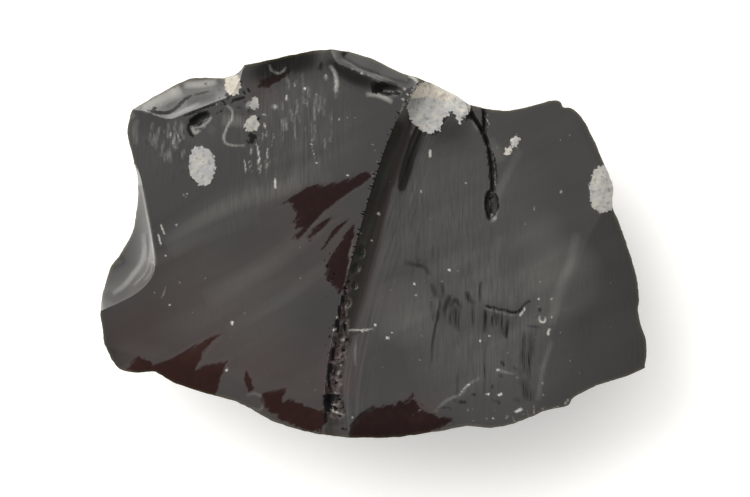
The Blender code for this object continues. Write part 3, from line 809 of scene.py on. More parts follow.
CHIPS = strokes(  # whitish chips and scratches
    # on the right sheet
    (0.17, 0.85, (17.7, -8.5), (18.3, -7.4)), (0.26, 1.0, (17.5, -8.5), (17.8, -8.5)),
    (0.2, 0.9, (20.0, -8.5), (19.9, -9.1), (20.2, -9.4), (20.6, -9.2), (20.7, -8.6)),
    (0.22, 1.0, (21.2, -10.1), (20.9, -10.6), (21.1, -11.0)),
    (0.24, 0.95, (15.5, -17.9), (14.8, -18.2)), (0.22, 0.9, (11.5, -16.8), (11.2, -17.0)),
    (0.16, 0.6, (11.3, -16.9), (10.6, -17.6), (10.3, -18.2)),
    (0.28, 0.5, (11.1, -19.9), (11.5, -19.9)), (0.26, 1.0, (16.9, -20.2), (17.9, -19.7)),
    (0.2, 0.5, (19.2, -19.3), (19.3, -20.5)), (0.14, 0.4, (18.3, -20.3), (19.0, -20.8)),
    (0.2, 0.45, (16.7, -20.6), (16.9, -21.4)), (0.22, 0.9, (15.1, -15.0), (14.7, -15.2)),
    (0.25, 0.9, (6.8, 11.4), (6.8, 10.3)), (0.24, 1.0, (1.4, -11.2), (1.9, -11.3)),
    (0.2, 0.7, (5.7, 6.5), (5.7, 6.0)), (0.18, 0.5, (19.3, 4.6), (19.3, 4.0)),
    (0.2, 0.7, (22.5, 6.5), (22.5, 6.0)),
    # on the left sheet
    (0.28, 0.55, (-11.8, 16.7), (-11.7, 16.2)), (0.18, 0.7, (-10.4, 17.9), (-10.4, 17.0)),
    (0.16, 0.7, (-9.5, 19.3), (-9.4, 18.8)), (0.2, 0.6, (-5.7, 20.4), (-5.7, 19.7)),
    (0.16, 0.6, (-5.1, 21.2), (-4.7, 20.4), (-4.5, 19.2), (-4.5, 18.2)),
    (0.12, 0.55, (-7.4, 11.8), (-7.1, 10.7), (-6.9, 9.8)), (0.2, 0.9, (-11.8, 7.9), (-11.7, 6.5)),
    (0.13, 0.5, (-14.7, 11.9), (-14.7, 10.4)),
    (0.16, 0.75, (-14.0, 12.1), (-13.7, 10.6), (-13.7, 9.1)),
    (0.16, 0.7, (-15.5, 10.2), (-15.3, 9.1), (-15.4, 8.4)),
    (0.18, 0.7, (-12.7, 11.5), (-12.7, 10.2)), (0.24, 0.6, (-13.1, 14.6), (-12.9, 13.7)),
    (0.2, 0.5, (-12.7, 13.6), (-12.8, 12.7)), (0.22, 0.55, (-13.4, 15.5), (-12.7, 15.4)),
    (0.12, 0.5, (-14.9, 10.1), (-14.8, 8.6)),
    (0.14, 0.6, (-24.3, 13.6), (-23.9, 11.9), (-23.6, 11.4)),
    (0.13, 0.6, (-23.7, 13.6), (-23.0, 12.0)), (0.12, 0.5, (-25.3, 14.0), (-25.1, 13.2)),
    (0.12, 0.4, (-24.5, 13.3), (-24.3, 12.5)), (0.15, 0.5, (-22.5, 5.8), (-22.4, 5.4)),
    (0.18, 0.8, (-25.5, 2.4), (-25.0, 1.1)), (0.17, 0.8, (-25.8, 1.3), (-25.4, -0.2)),
    (0.18, 0.4, (-24.8, -4.9), (-25.4, -6.7)), (0.14, 0.3, (-24.4, -7.6), (-24.7, -9.4)),
    (0.22, 1.3, (-16.9, -9.2), (-16.9, -9.7)),
    # along the crest and round the crystals
    (0.24, 1.1, (0.4, 3.8), (0.8, 3.5)),
    (0.2, 0.8, (-3.3, -10.3), (-2.1, -10.3), (-0.9, -10.3), (0.1, -10.1)),
    (0.2, 1.2, (-4.4, -10.1), (-4.9, -10.4)), (0.15, 1.0, (-4.5, -8.9), (-4.1, -8.6)),
    (0.22, 0.75, (-5.3, -19.8), (-4.4, -20.2), (-3.5, -20.5)),
    (0.13, 0.9, (-3.4, -7.2), (-3.3, -7.9)), (0.14, 0.5, (13.3, 15.6), (14.0, 14.2)),
    (0.24, 0.8, (4.1, 20.2), (5.1, 19.6), (5.2, 19.1)),
    (0.12, 0.45, (-3.1, 21.4), (-1.6, 20.5), (-0.2, 20.0), (2.0, 19.2)),
    # on the rim
    (0.16, 0.6, (5.7, -19.7), (5.3, -20.2)), (0.2, 0.5, (-9.7, -23.3), (-8.8, -22.6)),
    (0.2, 0.4, (20.1, -19.9), (20.6, -19.4)), (0.26, 0.55, (22.9, -19.3), (23.5, -18.5)),
    (0.2, 0.4, (21.5, -19.8), (22.4, -19.3)),
)

CRUMBS = {  # whitish crumbs: their half width, then x, y and strength of each
    0.14: ((-7.0, 17.9, 0.4), (-20.6, -3.8, 0.4), (-3.2, -4.3, 0.7), (12.8, 14.9, 0.4)),
    0.15: ((-14.8, -11.8, 0.4), (-8.6, -7.0, 0.4), (2.3, -12.6, 0.3), (3.7, -13.0, 0.3),
           (25.4, -10.3, 0.3), (27.3, -10.4, 0.25)),
    0.16: ((8.2, -4.5, 0.8), (9.4, -16.6, 0.3), (-6.7, 17.8, 0.6), (-6.8, 21.6, 0.4),
           (-1.5, 1.3, 0.8), (8.8, 12.5, 0.4), (-19.9, -4.3, 0.4), (-14.7, -7.9, 0.4),
           (-7.0, -17.5, 0.6), (-12.7, -15.7, 0.4), (-3.3, -9.5, 0.8), (2.5, -4.4, 0.5),
           (14.2, -7.7, 0.4), (23.1, -7.9, 0.4)),
    0.18: ((17.0, -6.7, 0.5), (10.1, -3.2, 0.6), (6.8, -6.7, 0.5), (-8.1, 16.8, 0.6),
           (-2.1, 15.1, 0.6), (2.0, 7.4, 0.6), (6.8, 3.0, 0.5), (-22.7, 5.9, 0.6),
           (-21.7, -8.2, 0.4), (-15.4, -8.3, 0.6), (18.2, 2.4, 0.6), (2.1, -5.5, 0.5),
           (22.4, -15.2, 0.3)),
    0.2: ((19.8, -6.6, 1.0), (5.6, -13.9, 0.6), (13.6, -20.9, 0.6), (15.9, -20.9, 0.6),
           (20.2, -16.7, 0.7), (20.3, -18.1, 0.6), (-7.4, 11.9, 0.9), (-6.8, 9.7, 0.9),
           (-3.1, 15.1, 0.5), (-16.5, 18.1, 0.4), (-22.3, 6.0, 0.7), (-0.2, 7.2, 0.5),
           (-0.2, 0.4, 1.1), (11.1, 7.3, 0.7), (-23.6, 2.3, 0.8), (-24.9, -1.4, 0.8),
           (-24.4, -7.3, 0.9), (-26.2, -5.8, 0.5), (2.2, -10.6, 0.8), (-3.9, -14.5, 1.0),
           (-2.5, -20.8, 0.8), (-2.6, 20.9, 0.7), (-3.4, -23.5, 0.5), (5.0, -6.2, 0.6)),
    0.22: ((21.3, -8.8, 0.7), (21.3, -6.6, 0.7), (5.1, -6.1, 0.6), (12.8, -11.6, 1.1),
           (5.8, -11.0, 0.5), (14.3, -20.9, 0.8), (-4.1, 14.9, 0.8), (-3.1, 8.2, 1.0),
           (-13.7, 9.0, 0.8), (-23.2, -4.6, 0.5), (-2.2, -10.3, 0.9), (-1.4, 20.4, 1.0)),
    0.24: ((9.1, -3.1, 1.2), (4.9, -4.8, 0.9), (13.9, -11.0, 0.7), (13.7, -18.0, 1.2),
           (17.2, -16.0, 0.55), (-17.6, -15.1, 1.2), (-1.3, -10.4, 0.9), (0.2, -9.7, 1.1),
           (4.1, 17.9, 0.8)),
    0.25: ((3.7, 18.5, 0.9), (3.5, 17.3, 0.8)),
    0.27: ((-8.2, 18.6, 1.0),),
}

# painted shade: short black scratches
DARK_SHADE_SCRATCHES = (
    Scratches((-18.5, 15.2), (4.0, 3.6), 16, (0.1, 0.5), 0.4, 0.20, 0.90, 3),
    Scratches((-5.8, -19.0), (1.2, 18.5), 26, (0.1, 0.5), 0.2, 0.18, 1.10, 5),
)
# painted soft shade: thin streaks that hang down
SOFT_SHADE_SCRATCHES = (
    Scratches((6.9, -7.6), (3.8, 1.4), 16, (0.8, 2.8), 0.04, 0.17, 0.80, 3),
    Scratches((13.0, -8.2), (3.5, 0.8), 10, (1.0, 3.0), 0.02, 0.17, 0.90, 5),
    Scratches((17.5, -10.5), (2.0, 1.5), 16, (3.0, 8.0), 0.02, 0.20, 0.55, 7),
    Scratches((3.8, -2.2), (2.6, 0.7), 8, (0.4, 1.4), 0.1, 0.16, 0.80, 9),
    Scratches((6.0, -3.0), (8.0, 3.5), 14, (1.0, 3.5), 0.03, 0.16, 0.50, 11),
    Scratches((1.4, -1.0), (5.0, 11.0), 26, (2.0, 6.0), 0.28, 0.18, 0.50, 33),
    Scratches((-29.0, 8.0), (9.0, 7.5), 26, (0.5, 2.0), 0.05, 0.18, 0.50, 35),
)
VEIL_SCRATCHES = (
    Scratches((-26.8, 11.0), (4.2, 3.8), 34, (0.5, 1.8), 0.12, 0.15, 0.34, 13),
    Scratches((-11.0, 12.5), (7.0, 8.0), 44, (0.4, 1.8), -0.06, 0.15, 0.34, 17),
)
POWDER_SCRATCHES = (
    Scratches((-14.8, 8.5), (3.4, 5.0), 34, (0.4, 1.8), -0.05, 0.13, 0.48, 15),
    Scratches((-4.0, 12.0), (4.0, 5.0), 8, (0.1, 0.5), 0.0, 0.14, 0.40, 19),
    Scratches((9.5, -21.5), (11.5, 2.6), 26, (0.1, 0.5), -0.3, 0.18, 0.40, 21),
    Scratches((12.0, -19.0), (6.0, 5.0), 26, (0.1, 0.4), 0.2, 0.15, 0.36, 23),
    Scratches((19.0, -11.0), (3.0, 5.0), 16, (0.1, 0.5), 0.4, 0.17, 0.36, 25),
    Scratches((-1.2, -13.0), (4.0, 8.0), 20, (0.1, 0.4), 0.2, 0.14, 0.32, 27),
    Scratches((-24.0, -13.0), (14.0, 7.0), 30, (0.1, 0.4), -0.4, 0.14, 0.32, 29),
    Scratches((-0.6, 8.0), (1.0, 6.5), 26, (0.1, 0.3), 0.25, 0.14, 0.56, 31),
    Scratches((2.0, -8.0), (24.0, 20.0), 70, (0.1, 0.4), 0.2, 0.13, 0.32, 37),
    Scratches((-27.0, -6.0), (24.0, 14.0), 40, (0.1, 0.4), -0.3, 0.13, 0.28, 39),
)

TURNS = strokes(  # places where the face leans away from the light
    (2.8, 0.36, (-15.7, 19.9), (-13.4, 20.6), (-10.0, 21.8), (-6.2, 22.4)),
    (1.6, 0.3, (-6.2, 22.1), (-4.0, 20.9), (-1.6, 19.7), (0.5, 19.2)),
    (2.0, 0.22, (-28.7, 14.6), (-26.8, 15.1), (-24.7, 14.4)),
    (3.0, 0.13, (-22.6, 12.5), (-23.8, 10.1)), (3.2, 0.18, (4.6, 13.1), (8.0, 13.4), (11.8, 13.9)),
    (2.0, 0.2, (4.3, 13.3), (4.1, 11.0), (3.7, 8.5), (3.2, 6.5)),
    (3.0, 0.15, (-31.0, -13.4), (-26.0, -14.8), (-20.5, -16.2), (-14.5, -18.4), (-7.0, -20.6)),
    (1.6, 0.14, (-9.5, -22.2), (-4.5, -22.8), (3.0, -22.8), (11.0, -21.2)),
    (1.7, 0.22, (-4.6, -17.6), (-4.2, -21.8)), (1.2, 0.1, (-14.2, 18.2), (-13.4, 16.8)),
)

BLUSHES = strokes(  # maroon tinge in the black
    (11.0, 0.4, (-20.8, -9.7)), (8.0, 0.45, (-10.0, -16.9)), (8.0, 0.3, (-8.2, 0.5)),
    (3.0, 0.5, (-3.4, -12.1), (-4.3, -18.1)), (5.0, 0.3, (-29.2, -11.5)), (5.0, 0.12, (0.8, -6.7)),
    (2.4, 0.35, (-13.4, 17.9)), (3.0, 0.35, (-2.8, -1.3)), (3.0, 0.5, (2.6, -20.2), (8.0, -20.4)),
)

BRUSHINGS = strokes(  # how strongly fine scratches show
    (10.0, 1.1, (-10.6, 14.9)), (5.0, 0.9, (-25.0, 12.5)), (6.0, 0.4, (-16.6, 6.5)),
    (10.0, 0.55, (9.2, 2.9)), (11.0, 0.6, (12.8, -10.3)), (5.0, 0.5, (3.2, 5.3)),
)


def strewn(patches: tuple[Scratches, ...]) -> tuple[Mark, ...]:
    """The marks of several patches."""
    return tuple(mark for patch in patches for mark in patch.marks())


CRUMB_SPOTS = tuple(Mark(((x, y),), half_width, strength)
                    for half_width, crumbs in CRUMBS.items() for x, y, strength in crumbs)
# painted shade down the crack and its fork
CRACK_SHADE = (Mark(CRACK, 0.26, 1.0), Mark(CRACK_FORK, 0.40, 1.2))
MARKS: dict[Layer, tuple[Mark, ...]] = {
    Layer.MILK: SHEENS + VEILS + strewn(VEIL_SCRATCHES),
    Layer.SOOT: BREAKS + strewn(DARK_SHADE_SCRATCHES) + CRACK_SHADE,
    Layer.SMUDGE: SOFT_SHADES + strewn(SOFT_SHADE_SCRATCHES),
    Layer.POWDER: CHIPS + CRUMB_SPOTS + strewn(POWDER_SCRATCHES),
    Layer.BLUSH: BLUSHES,
    Layer.BRUSHED: BRUSHINGS,
    Layer.TURN: TURNS,
    Layer.FLATTEN: (),
}
STRONGEST = (Layer.SOOT, Layer.SMUDGE, Layer.POWDER)  # here the strongest mark counts alone


@dataclass(frozen=True)
class Outline:
    """A closed outline on the face, measured as a signed distance."""

    points: Points

    def edge(self, x: Array, y: Array) -> Array:
        """Distance from the outline, positive inside it.

        Args:
            x, y: plan place of each point.

        Returns:
            The distance of each point.
        """
        path = np.vstack([np.array(self.points), self.points[:1]])
        far = nearness(x, y, path).far
        return np.where(inside_outline(x, y, path), far, -far)


@dataclass(frozen=True)
class Flame(Outline):
    """A small facet with a ragged end that leans away, with how warm its painted maroon reflection
    is.
    """

    reflection_warmth: float = 0.0


@dataclass(frozen=True)
class Bloom(Outline):
    """A crust of pale crystals in the glass: how creamy its colour is, and how light."""

    cream: float = 0.0
    light: float = 1.0


BLOOMS = {
    "snowflake": Bloom((
        (-21.7, 11.3), (-21.1, 11.8), (-20.9, 11.4), (-20.7, 11.9), (-20.3, 11.4), (-19.6, 11.3),
        (-19.1, 10.4), (-18.9, 9.2), (-19.1, 8.2), (-19.5, 7.3), (-20.1, 7.0), (-20.5, 7.2),
        (-20.8, 6.8), (-21.3, 7.6), (-21.9, 8.0), (-22.1, 9.7), (-22.0, 10.7)), 0.1, 0.92),
    "top_lump": Bloom((
        (4.8, 18.3), (5.6, 19.2), (6.4, 19.8), (7.1, 19.3), (7.2, 18.4), (6.4, 17.2), (5.2, 17.0),
        (4.3, 17.3)), 1.0, 1.7),
    "top_crust": Bloom((
        (6.2, 20.0), (7.8, 19.5), (9.7, 18.6), (11.0, 17.6), (9.4, 17.2), (8.7, 16.8), (7.0, 16.9),
        (6.2, 17.5)), 0.85, 1.15),
    "main_lobe": Bloom((
        (4.2, 17.5), (4.0, 16.4), (4.3, 15.1), (4.8, 14.3), (5.4, 14.0), (5.8, 13.6), (6.4, 13.4),
        (6.9, 13.1), (7.5, 13.6), (8.0, 13.6), (8.2, 14.4), (8.5, 15.2), (8.9, 15.4), (9.4, 16.1),
        (9.2, 17.2), (7.7, 17.9), (6.4, 18.1), (5.3, 18.0)), 0.15, 1.25),
    "right_lobe": Bloom((
        (9.0, 17.9), (9.0, 16.8), (9.3, 16.0), (9.8, 15.4), (10.0, 14.8), (10.4, 14.4),
        (10.6, 15.1), (11.2, 15.4), (11.7, 16.1), (11.6, 16.9), (10.8, 18.0)), 0.2, 1.2),
    "upper_chip": Bloom((
        (16.4, 11.9), (16.6, 12.7), (17.3, 13.1), (17.6, 12.5), (17.2, 11.6), (16.6, 11.6)), 0.3),
    "lower_chip": Bloom((
        (15.7, 10.8), (15.9, 11.6), (16.5, 11.9), (16.7, 11.4), (16.3, 10.6)), 0.3),
    "edge_flake": Bloom((
        (28.3, 9.5), (27.1, 9.4), (26.5, 8.9), (26.1, 7.7), (25.9, 7.0), (25.9, 6.1), (26.2, 4.4),
        (27.1, 3.7), (27.9, 3.9), (28.9, 4.3), (29.2, 6.2), (28.9, 7.7), (28.3, 8.9)), 0.3, 0.86),
    "shelf_crust": Bloom((
        (-17.9, 19.7), (-17.7, 20.4), (-16.7, 20.5), (-16.0, 20.0), (-15.9, 18.7), (-16.3, 17.8),
        (-17.2, 17.8), (-17.8, 18.5)), 1.0, 0.85),
    "hump_crust": Bloom((
        (-14.6, 17.6), (-13.9, 17.4), (-13.7, 16.6), (-14.1, 16.0), (-14.7, 16.1),
        (-14.7, 16.8)), 0.2, 0.8),
    "hump_chip": Bloom((
        (-14.9, 15.2), (-14.3, 15.5), (-13.9, 15.1), (-13.6, 14.2), (-13.9, 13.6), (-15.3, 13.5),
        (-15.5, 14.2)), 0.2, 0.8),
}

# small facets that lean away; their maroon is a painted reflection of warm reddish surroundings
FLAMES = {
    "upper": Flame((
        (0.3, 8.4), (-1.0, 8.5), (-2.4, 8.1), (-3.4, 7.6), (-4.3, 7.3), (-5.5, 7.2), (-6.8, 7.0),
        (-7.9, 7.0), (-8.9, 6.2), (-10.1, 5.5), (-10.9, 5.0), (-12.0, 4.5), (-10.6, 4.7),
        (-10.0, 4.9), (-9.8, 4.4), (-9.2, 3.9), (-9.0, 3.3), (-9.6, 2.4), (-8.9, 2.4), (-9.3, 1.8),
        (-8.5, 1.9), (-9.3, 1.2), (-9.9, 0.4), (-9.0, 0.6), (-8.1, 1.3), (-7.2, 2.3), (-6.1, 3.4),
        (-5.1, 4.4), (-4.0, 5.3), (-2.9, 6.0), (-1.8, 6.7), (-0.8, 7.4))),
    "first_finger": Flame((
        (-3.6, 3.6), (-4.8, 3.2), (-6.1, 2.6), (-7.2, 1.7), (-8.1, 0.8), (-7.6, 0.4), (-6.8, 1.1),
        (-5.9, 1.8), (-5.1, 2.6), (-4.2, 3.1))),
    "second_finger": Flame((
        (-2.9, 3.1), (-3.5, 2.5), (-4.3, 2.0), (-5.1, 1.0), (-5.9, -0.2), (-6.1, -0.7),
        (-5.3, 0.1), (-4.4, 1.1), (-3.6, 2.0))),
    "beside_crest": Flame((
        (-2.1, 2.7), (-2.9, 1.8), (-3.4, 1.0), (-4.2, -0.3), (-4.9, -1.4), (-5.5, -2.5),
        (-5.5, -4.3), (-4.5, -5.3), (-3.8, -6.4), (-3.4, -4.8), (-2.9, -3.1), (-2.8, -1.1),
        (-2.2, 1.0))),
    "lower_left": Flame((
        (-17.9, -10.7), (-20.3, -11.4), (-21.5, -12.1), (-22.7, -13.0), (-23.9, -13.6),
        (-26.3, -14.4), (-26.8, -13.8), (-28.3, -13.3), (-29.3, -14.4), (-30.2, -15.1),
        (-26.8, -16.1), (-25.1, -17.2), (-21.5, -18.1), (-19.1, -18.8), (-18.5, -17.4),
        (-18.1, -16.0), (-17.5, -14.4), (-16.9, -13.6), (-18.9, -14.2), (-20.3, -14.6),
        (-21.3, -15.0), (-20.1, -13.0), (-19.1, -11.9)), 1.0),
    "lower_small": Flame((
        (-15.2, -15.1), (-15.3, -16.3), (-14.9, -17.6), (-14.3, -17.6), (-14.5, -16.3)), 1.3),
    "lower_middle": Flame((
        (-10.3, -17.2), (-13.1, -17.9), (-13.4, -18.7), (-12.9, -19.7), (-11.8, -20.4),
        (-9.8, -21.6), (-7.9, -22.3), (-6.2, -22.6), (-5.6, -21.3), (-5.8, -20.0), (-7.0, -19.6),
        (-8.2, -19.2), (-9.5, -18.7), (-10.9, -19.0)), 0.9),
    "crest_foot": Flame((
        (-2.8, -23.6), (-2.6, -22.0), (-2.0, -21.0), (-1.4, -20.3), (-0.5, -19.9), (0.2, -19.4),
        (0.8, -19.6), (1.5, -19.2), (2.6, -19.2), (3.2, -18.8), (3.7, -19.0), (4.3, -18.5),
        (4.9, -17.7), (5.0, -18.5), (5.3, -19.0), (5.7, -19.2), (6.1, -19.8), (6.8, -20.0),
        (7.5, -20.4), (8.8, -20.8), (9.4, -21.2), (8.6, -21.7), (7.5, -22.3), (5.6, -23.0),
        (3.2, -23.4), (0.2, -23.6)), 0.1),
    "hump_feather": Flame((
        (-13.6, 18.7), (-13.1, 19.2), (-13.3, 19.4), (-12.5, 19.7), (-12.2, 19.9), (-11.5, 20.1),
        (-10.9, 20.3), (-10.0, 20.6), (-10.4, 20.1), (-10.9, 19.9), (-11.1, 19.5), (-11.7, 19.3),
        (-12.2, 19.1), (-12.4, 18.7), (-12.9, 18.8)), -0.3),
}


# ---------------- the broad face


@dataclass
class BroadFace:
    """The broad glassy face as one grid of points.

    Attributes:
        left_columns: cells from the left edge to the crest.
        right_columns: cells from the crest to the right edge.
        rows: cells from the lower edge to the upper edge.
        crowding: how much closer the right columns stand near the crest.
        relax_rounds: times that each inner point moves halfway to its neighbours' middle.
        chipping: how far small chips move the rim along X and along Y.
        crossing: a path can cross a grid edge only where the distances of its two ends
            from the path sum to less than this, in cells.
        pull: points move no further than this onto a path, in cells.
        soften_rounds: times that the left flank scar's heights are evened out.
        soften_margin: how far inside the scar that starts.
    """

    left_columns: int = 150
    right_columns: int = 172
    rows: int = 228
    crowding: float = 0.45
    relax_rounds: int = 60
    chipping: tuple[Grain, Grain] = (Grain(0.10, 0.9, 71), Grain(0.10, 0.9, 77))
    crossing: float = 2.4
    pull: float = 0.84
    soften_rounds: int = 40
    soften_margin: float = 0.2
    crest: Crest = field(default_factory=Crest)
    crack: Crack = field(default_factory=Crack)

    def rim_edges(self) -> dict[str, Array]:
        """The rim cut at its six corners into fine paths, each counter-clockwise.

        Returns:
            The six paths, by name.
        """
        rim = smooth_path(RIM, RIM_STEP)
        rim = rim + np.column_stack([chips.at(*rim.T) for chips in self.chipping])
        corners = (LOWER_LEFT, FOOT, LOWER_RIGHT, UPPER_RIGHT, CREST_TOP, UPPER_LEFT)
        at = [int(np.hypot(*(rim[:-1] - corner).T).argmin()) for corner in corners]
        names = ("lower_left", "lower_right", "right", "upper_right", "upper_left", "left")
        ends = at[1:] + [len(rim) - 1]
        return {name: rim[a:b + 1] for name, a, b in zip(names, at, ends)}

    def plan(self) -> Array:
        """Grid of plan points: two four-sided patches that share the crest's column.

        Each patch is ruled across between its sides plus ruled up between its lower and
        upper edge, less the patch that its corners alone would give. The inner points
        are then relaxed, so that small notches of the rim fade out inwards.

        Returns:
            The grid, rows by columns by 2.
        """
        edges = self.rim_edges()
        across_left = np.linspace(0.0, 1.0, self.left_columns + 1)
        t = np.linspace(0.0, 1.0, self.right_columns + 1)
        across_right = t * (1.0 - self.crowding + self.crowding * t)
        up = np.linspace(0.0, 1.0, self.rows + 1)
        crest = resample(self.crest.path(), up)
        left = self.patch(
            resample(edges["lower_left"], across_left),
            resample(edges["upper_left"][::-1], across_left),
            resample(edges["left"][::-1], up), crest)
        right = self.patch(
            resample(edges["lower_right"], across_right),
            resample(edges["upper_right"][::-1], across_right),
            crest, resample(edges["right"], up))
        return np.concatenate([left, right[:, 1:]], axis=1)

    def patch(self, lower: Array, upper: Array, first: Array, last: Array) -> Array:
        """One four-sided patch of plan points, relaxed inside its edges.

        Args:
            lower, upper: its edges, from left to right.
            first, last: its left and right sides, from below.

        Returns:
            The grid, rows by columns by 2.
        """
        u = (lengths(lower) / lengths(lower)[-1])[None, :, None]
        v = (lengths(first) / lengths(first)[-1])[:, None, None]
        across = (1 - u) * first[:, None] + u * last[:, None]
        along = (1 - v) * lower[None] + v * upper[None]
        ends = (1 - v) * ((1 - u) * lower[0] + u * lower[-1])
        ends = ends + v * ((1 - u) * upper[0] + u * upper[-1])
        grid = across + along - ends
        for _ in range(self.relax_rounds):
            middle = (grid[:-2, 1:-1] + grid[2:, 1:-1]) / 4 + (grid[1:-1, :-2] + grid[1:-1, 2:]) / 4
            grid[1:-1, 1:-1] += 0.5 * (middle - grid[1:-1, 1:-1])
        return grid

    def sharp_paths(self) -> list[Array]:
        """Paths that the grid follows exactly: every arris and both lines of the crack."""
        scars = list(LEFT_SCARS.values()) + list(RIGHT_SCARS.values())
        return [scar.path() for scar in scars] + self.crack.paths()

    def snap(self, grid: Array) -> Flags:
        """Move grid points onto the sharp paths, in place.

        Where a path crosses a grid edge, the nearer end of that edge moves to its
        nearest place on the path.

        Args:
            grid: plan points, rows by columns by 2.

        Returns:
            Which points now lie on a path.
        """
        on_path = np.zeros(grid.shape[:2], bool)
        cell = np.linalg.norm(np.diff(grid, axis=1), axis=2).mean()
        for path in self.sharp_paths():
            near = nearness(grid[..., 0].ravel(), grid[..., 1].ravel(), path)
            signed = (near.far * near.side).reshape(on_path.shape)
            hit = np.zeros_like(on_path)
            for low, high in ((np.s_[:-1], np.s_[1:]), (np.s_[:, :-1], np.s_[:, 1:])):
                first, second = signed[low], signed[high]
                close = np.abs(first) + np.abs(second) < self.crossing * cell
                crossed = (first * second <= 0.0) & close
                nearer = np.abs(first) <= np.abs(second)
                hit[low] |= crossed & nearer
                hit[high] |= crossed & ~nearer
            hit &= (np.abs(signed) < self.pull * cell) & ~on_path
            hit[[0, 1, -2, -1]] = False
            hit[:, [0, 1, self.left_columns, -2, -1]] = False
            grid[hit] = near.foot.reshape(grid.shape)[hit]
            on_path |= hit
        return on_path

    def height(self, x: Array, y: Array, right: Flags, near: Nearness) -> Array:
        """Height of the face: the left sheet up to the crest, then the scarp's fall.

        Args:
            x, y: plan place of each point.
            right: which points lie beyond the crest.
            near: how the points lie to the crest.

        Returns:
            The height of each point, with its pits and lumps but without fine relief.
        """
        left = LEFT_SHEET.height(x, y) - self.scar_drop(x, y, LEFT_SCARS)
        low = RIGHT_SHEET.height(x, y) - self.scar_drop(x, y, RIGHT_SCARS)
        beyond = np.where(right, near.far, 0.0)
        width = self.crest.band_width(near)
        terrace = self.crest.terrace(beyond, width, near)
        fade = self.crest.fall(beyond, width)
        drop = self.crack.drop(x, y)
        for dent in list(DENTS.values()) + self.crest.ledge_dents():
            drop += dent.drop(x, y)
        return low + (left - low - terrace) * fade + terrace - drop

    def scar_drop(self, x: Array, y: Array, scars: dict[str, Scar]) -> Array:
        """Depth of the deepest scar at each point."""
        return np.maximum.reduce([scar.drop(x, y) for scar in scars.values()])

    def relief(self, x: Array, y: Array, near: Nearness) -> Array:
        """Fine relief: slow waves, the crest's, crumbs on lumps, facets and crusts.

        Each maroon facet is a step down at its outline that fades inwards, and each
        crust a rise inside its outline.

        Args:
            x, y: plan place of each point.
            near: how the points lie to the crest.

        Returns:
            The height to add at each point.
        """
        lumps = sum(np.sqrt(dent.share(x, y)) for dent in DENTS.values() if dent.depth < 0.0)
        edges = np.maximum.reduce([flame.edge(x, y) for flame in FLAMES.values()])
        step = ease(edges, *FACET_EDGE) * np.exp(-np.maximum(edges, 0.0) / FACET_REACH)
        edges = np.maximum.reduce([bloom.edge(x, y) for bloom in BLOOMS.values()])
        crust = ease(edges, *CRUST_EDGE) * (CRUST_RISE + CRUST_CRUMBS.at(x, y))
        return (FACE_WAVES.at(x, y) + self.crest.relief(x, y, near)
                + lumps * LUMP_CRUMBS.at(x, y) - FACET_STEP * step + crust)

    def soften_flank(self, z: Array, x: Array, y: Array, on_path: Flags) -> Array:
        """Heights with the left flank scar evened out, so that its bends are soft.

        Each point inside the scar moves halfway to its neighbours' middle, round by
        round. The arris and the rim stay.

        Args:
            z: height of each point.
            x, y: plan place of each point.
            on_path: which points lie on a sharp path.

        Returns:
            The new height of each point.
        """
        near = nearness(x, y, LEFT_SCARS["left_flank"].path())
        inside = (near.side > 0.0) & (near.far > self.soften_margin)
        inside = inside.reshape(on_path.shape) & ~on_path
        inside[[0, -1]] = False
        inside[:, [0, -1]] = False
        grid = z.reshape(on_path.shape).copy()
        for _ in range(self.soften_rounds):
            middle = (grid[:-2, 1:-1] + grid[2:, 1:-1] + grid[1:-1, :-2] + grid[1:-1, 2:]) / 4
            moved = 0.5 * (grid[1:-1, 1:-1] + middle)
            grid[1:-1, 1:-1] = np.where(inside[1:-1, 1:-1], moved, grid[1:-1, 1:-1])
        return grid.ravel()

    def triangles(self, points: Array, on_path: Flags) -> Numbers:
        """Two triangles for each grid cell, split along its sharp path or shorter diagonal.

        Args:
            points: the grid, rows by columns by 3.
            on_path: which points lie on a sharp path.

        Returns:
            The numbers of each triangle's points.
        """
        rows, columns = on_path.shape
        index = np.arange(rows * columns).reshape(rows, columns)
        a, b = index[:-1, :-1], index[:-1, 1:]
        d, c = index[1:, :-1], index[1:, 1:]
        flag = on_path.ravel()
        space = points.reshape(-1, 3)
        shorter = (np.linalg.norm(space[b] - space[d], axis=2)
                   < np.linalg.norm(space[a] - space[c], axis=2))
        both_bd, both_ac = flag[b] & flag[d], flag[a] & flag[c]
        three = (both_bd & (flag[a] | flag[c])) | (both_ac & (flag[b] | flag[d]))
        use_bd = np.where(both_bd & ~three, True, np.where(both_ac & ~three, False, shorter))
        use_bd = np.where(three & both_bd, False, np.where(three & both_ac, True, use_bd))
        pick = use_bd[..., None]
        first = np.where(pick, np.stack([a, b, d], axis=2), np.stack([a, b, c], axis=2))
        second = np.where(pick, np.stack([b, c, d], axis=2), np.stack([a, c, d], axis=2))
        return np.concatenate([first.reshape(-1, 3), second.reshape(-1, 3)])

    def ring(self, rows: int, columns: int) -> Numbers:
        """Grid points of the rim in order, counter-clockwise from the lower left corner."""
        index = np.arange(rows * columns).reshape(rows, columns)
        return np.concatenate([
            index[0, :-1], index[:-1, -1], index[-1, :0:-1], index[:0:-1, 0]])


# ---------------- the flanks and back


BACK: Points = (
    (-19.0, -7.5), (-15.5, -12.0), (-3.0, -11.5), (6.0, -15.0), (19.5, -11.5), (22.5, -4.0),
    (17.5, 3.5), (15.5, 9.0), (2.0, 9.5), (-6.5, 13.0), (-15.5, 9.5), (-20.5, 1.0),
    (-19.0, -7.5),
)

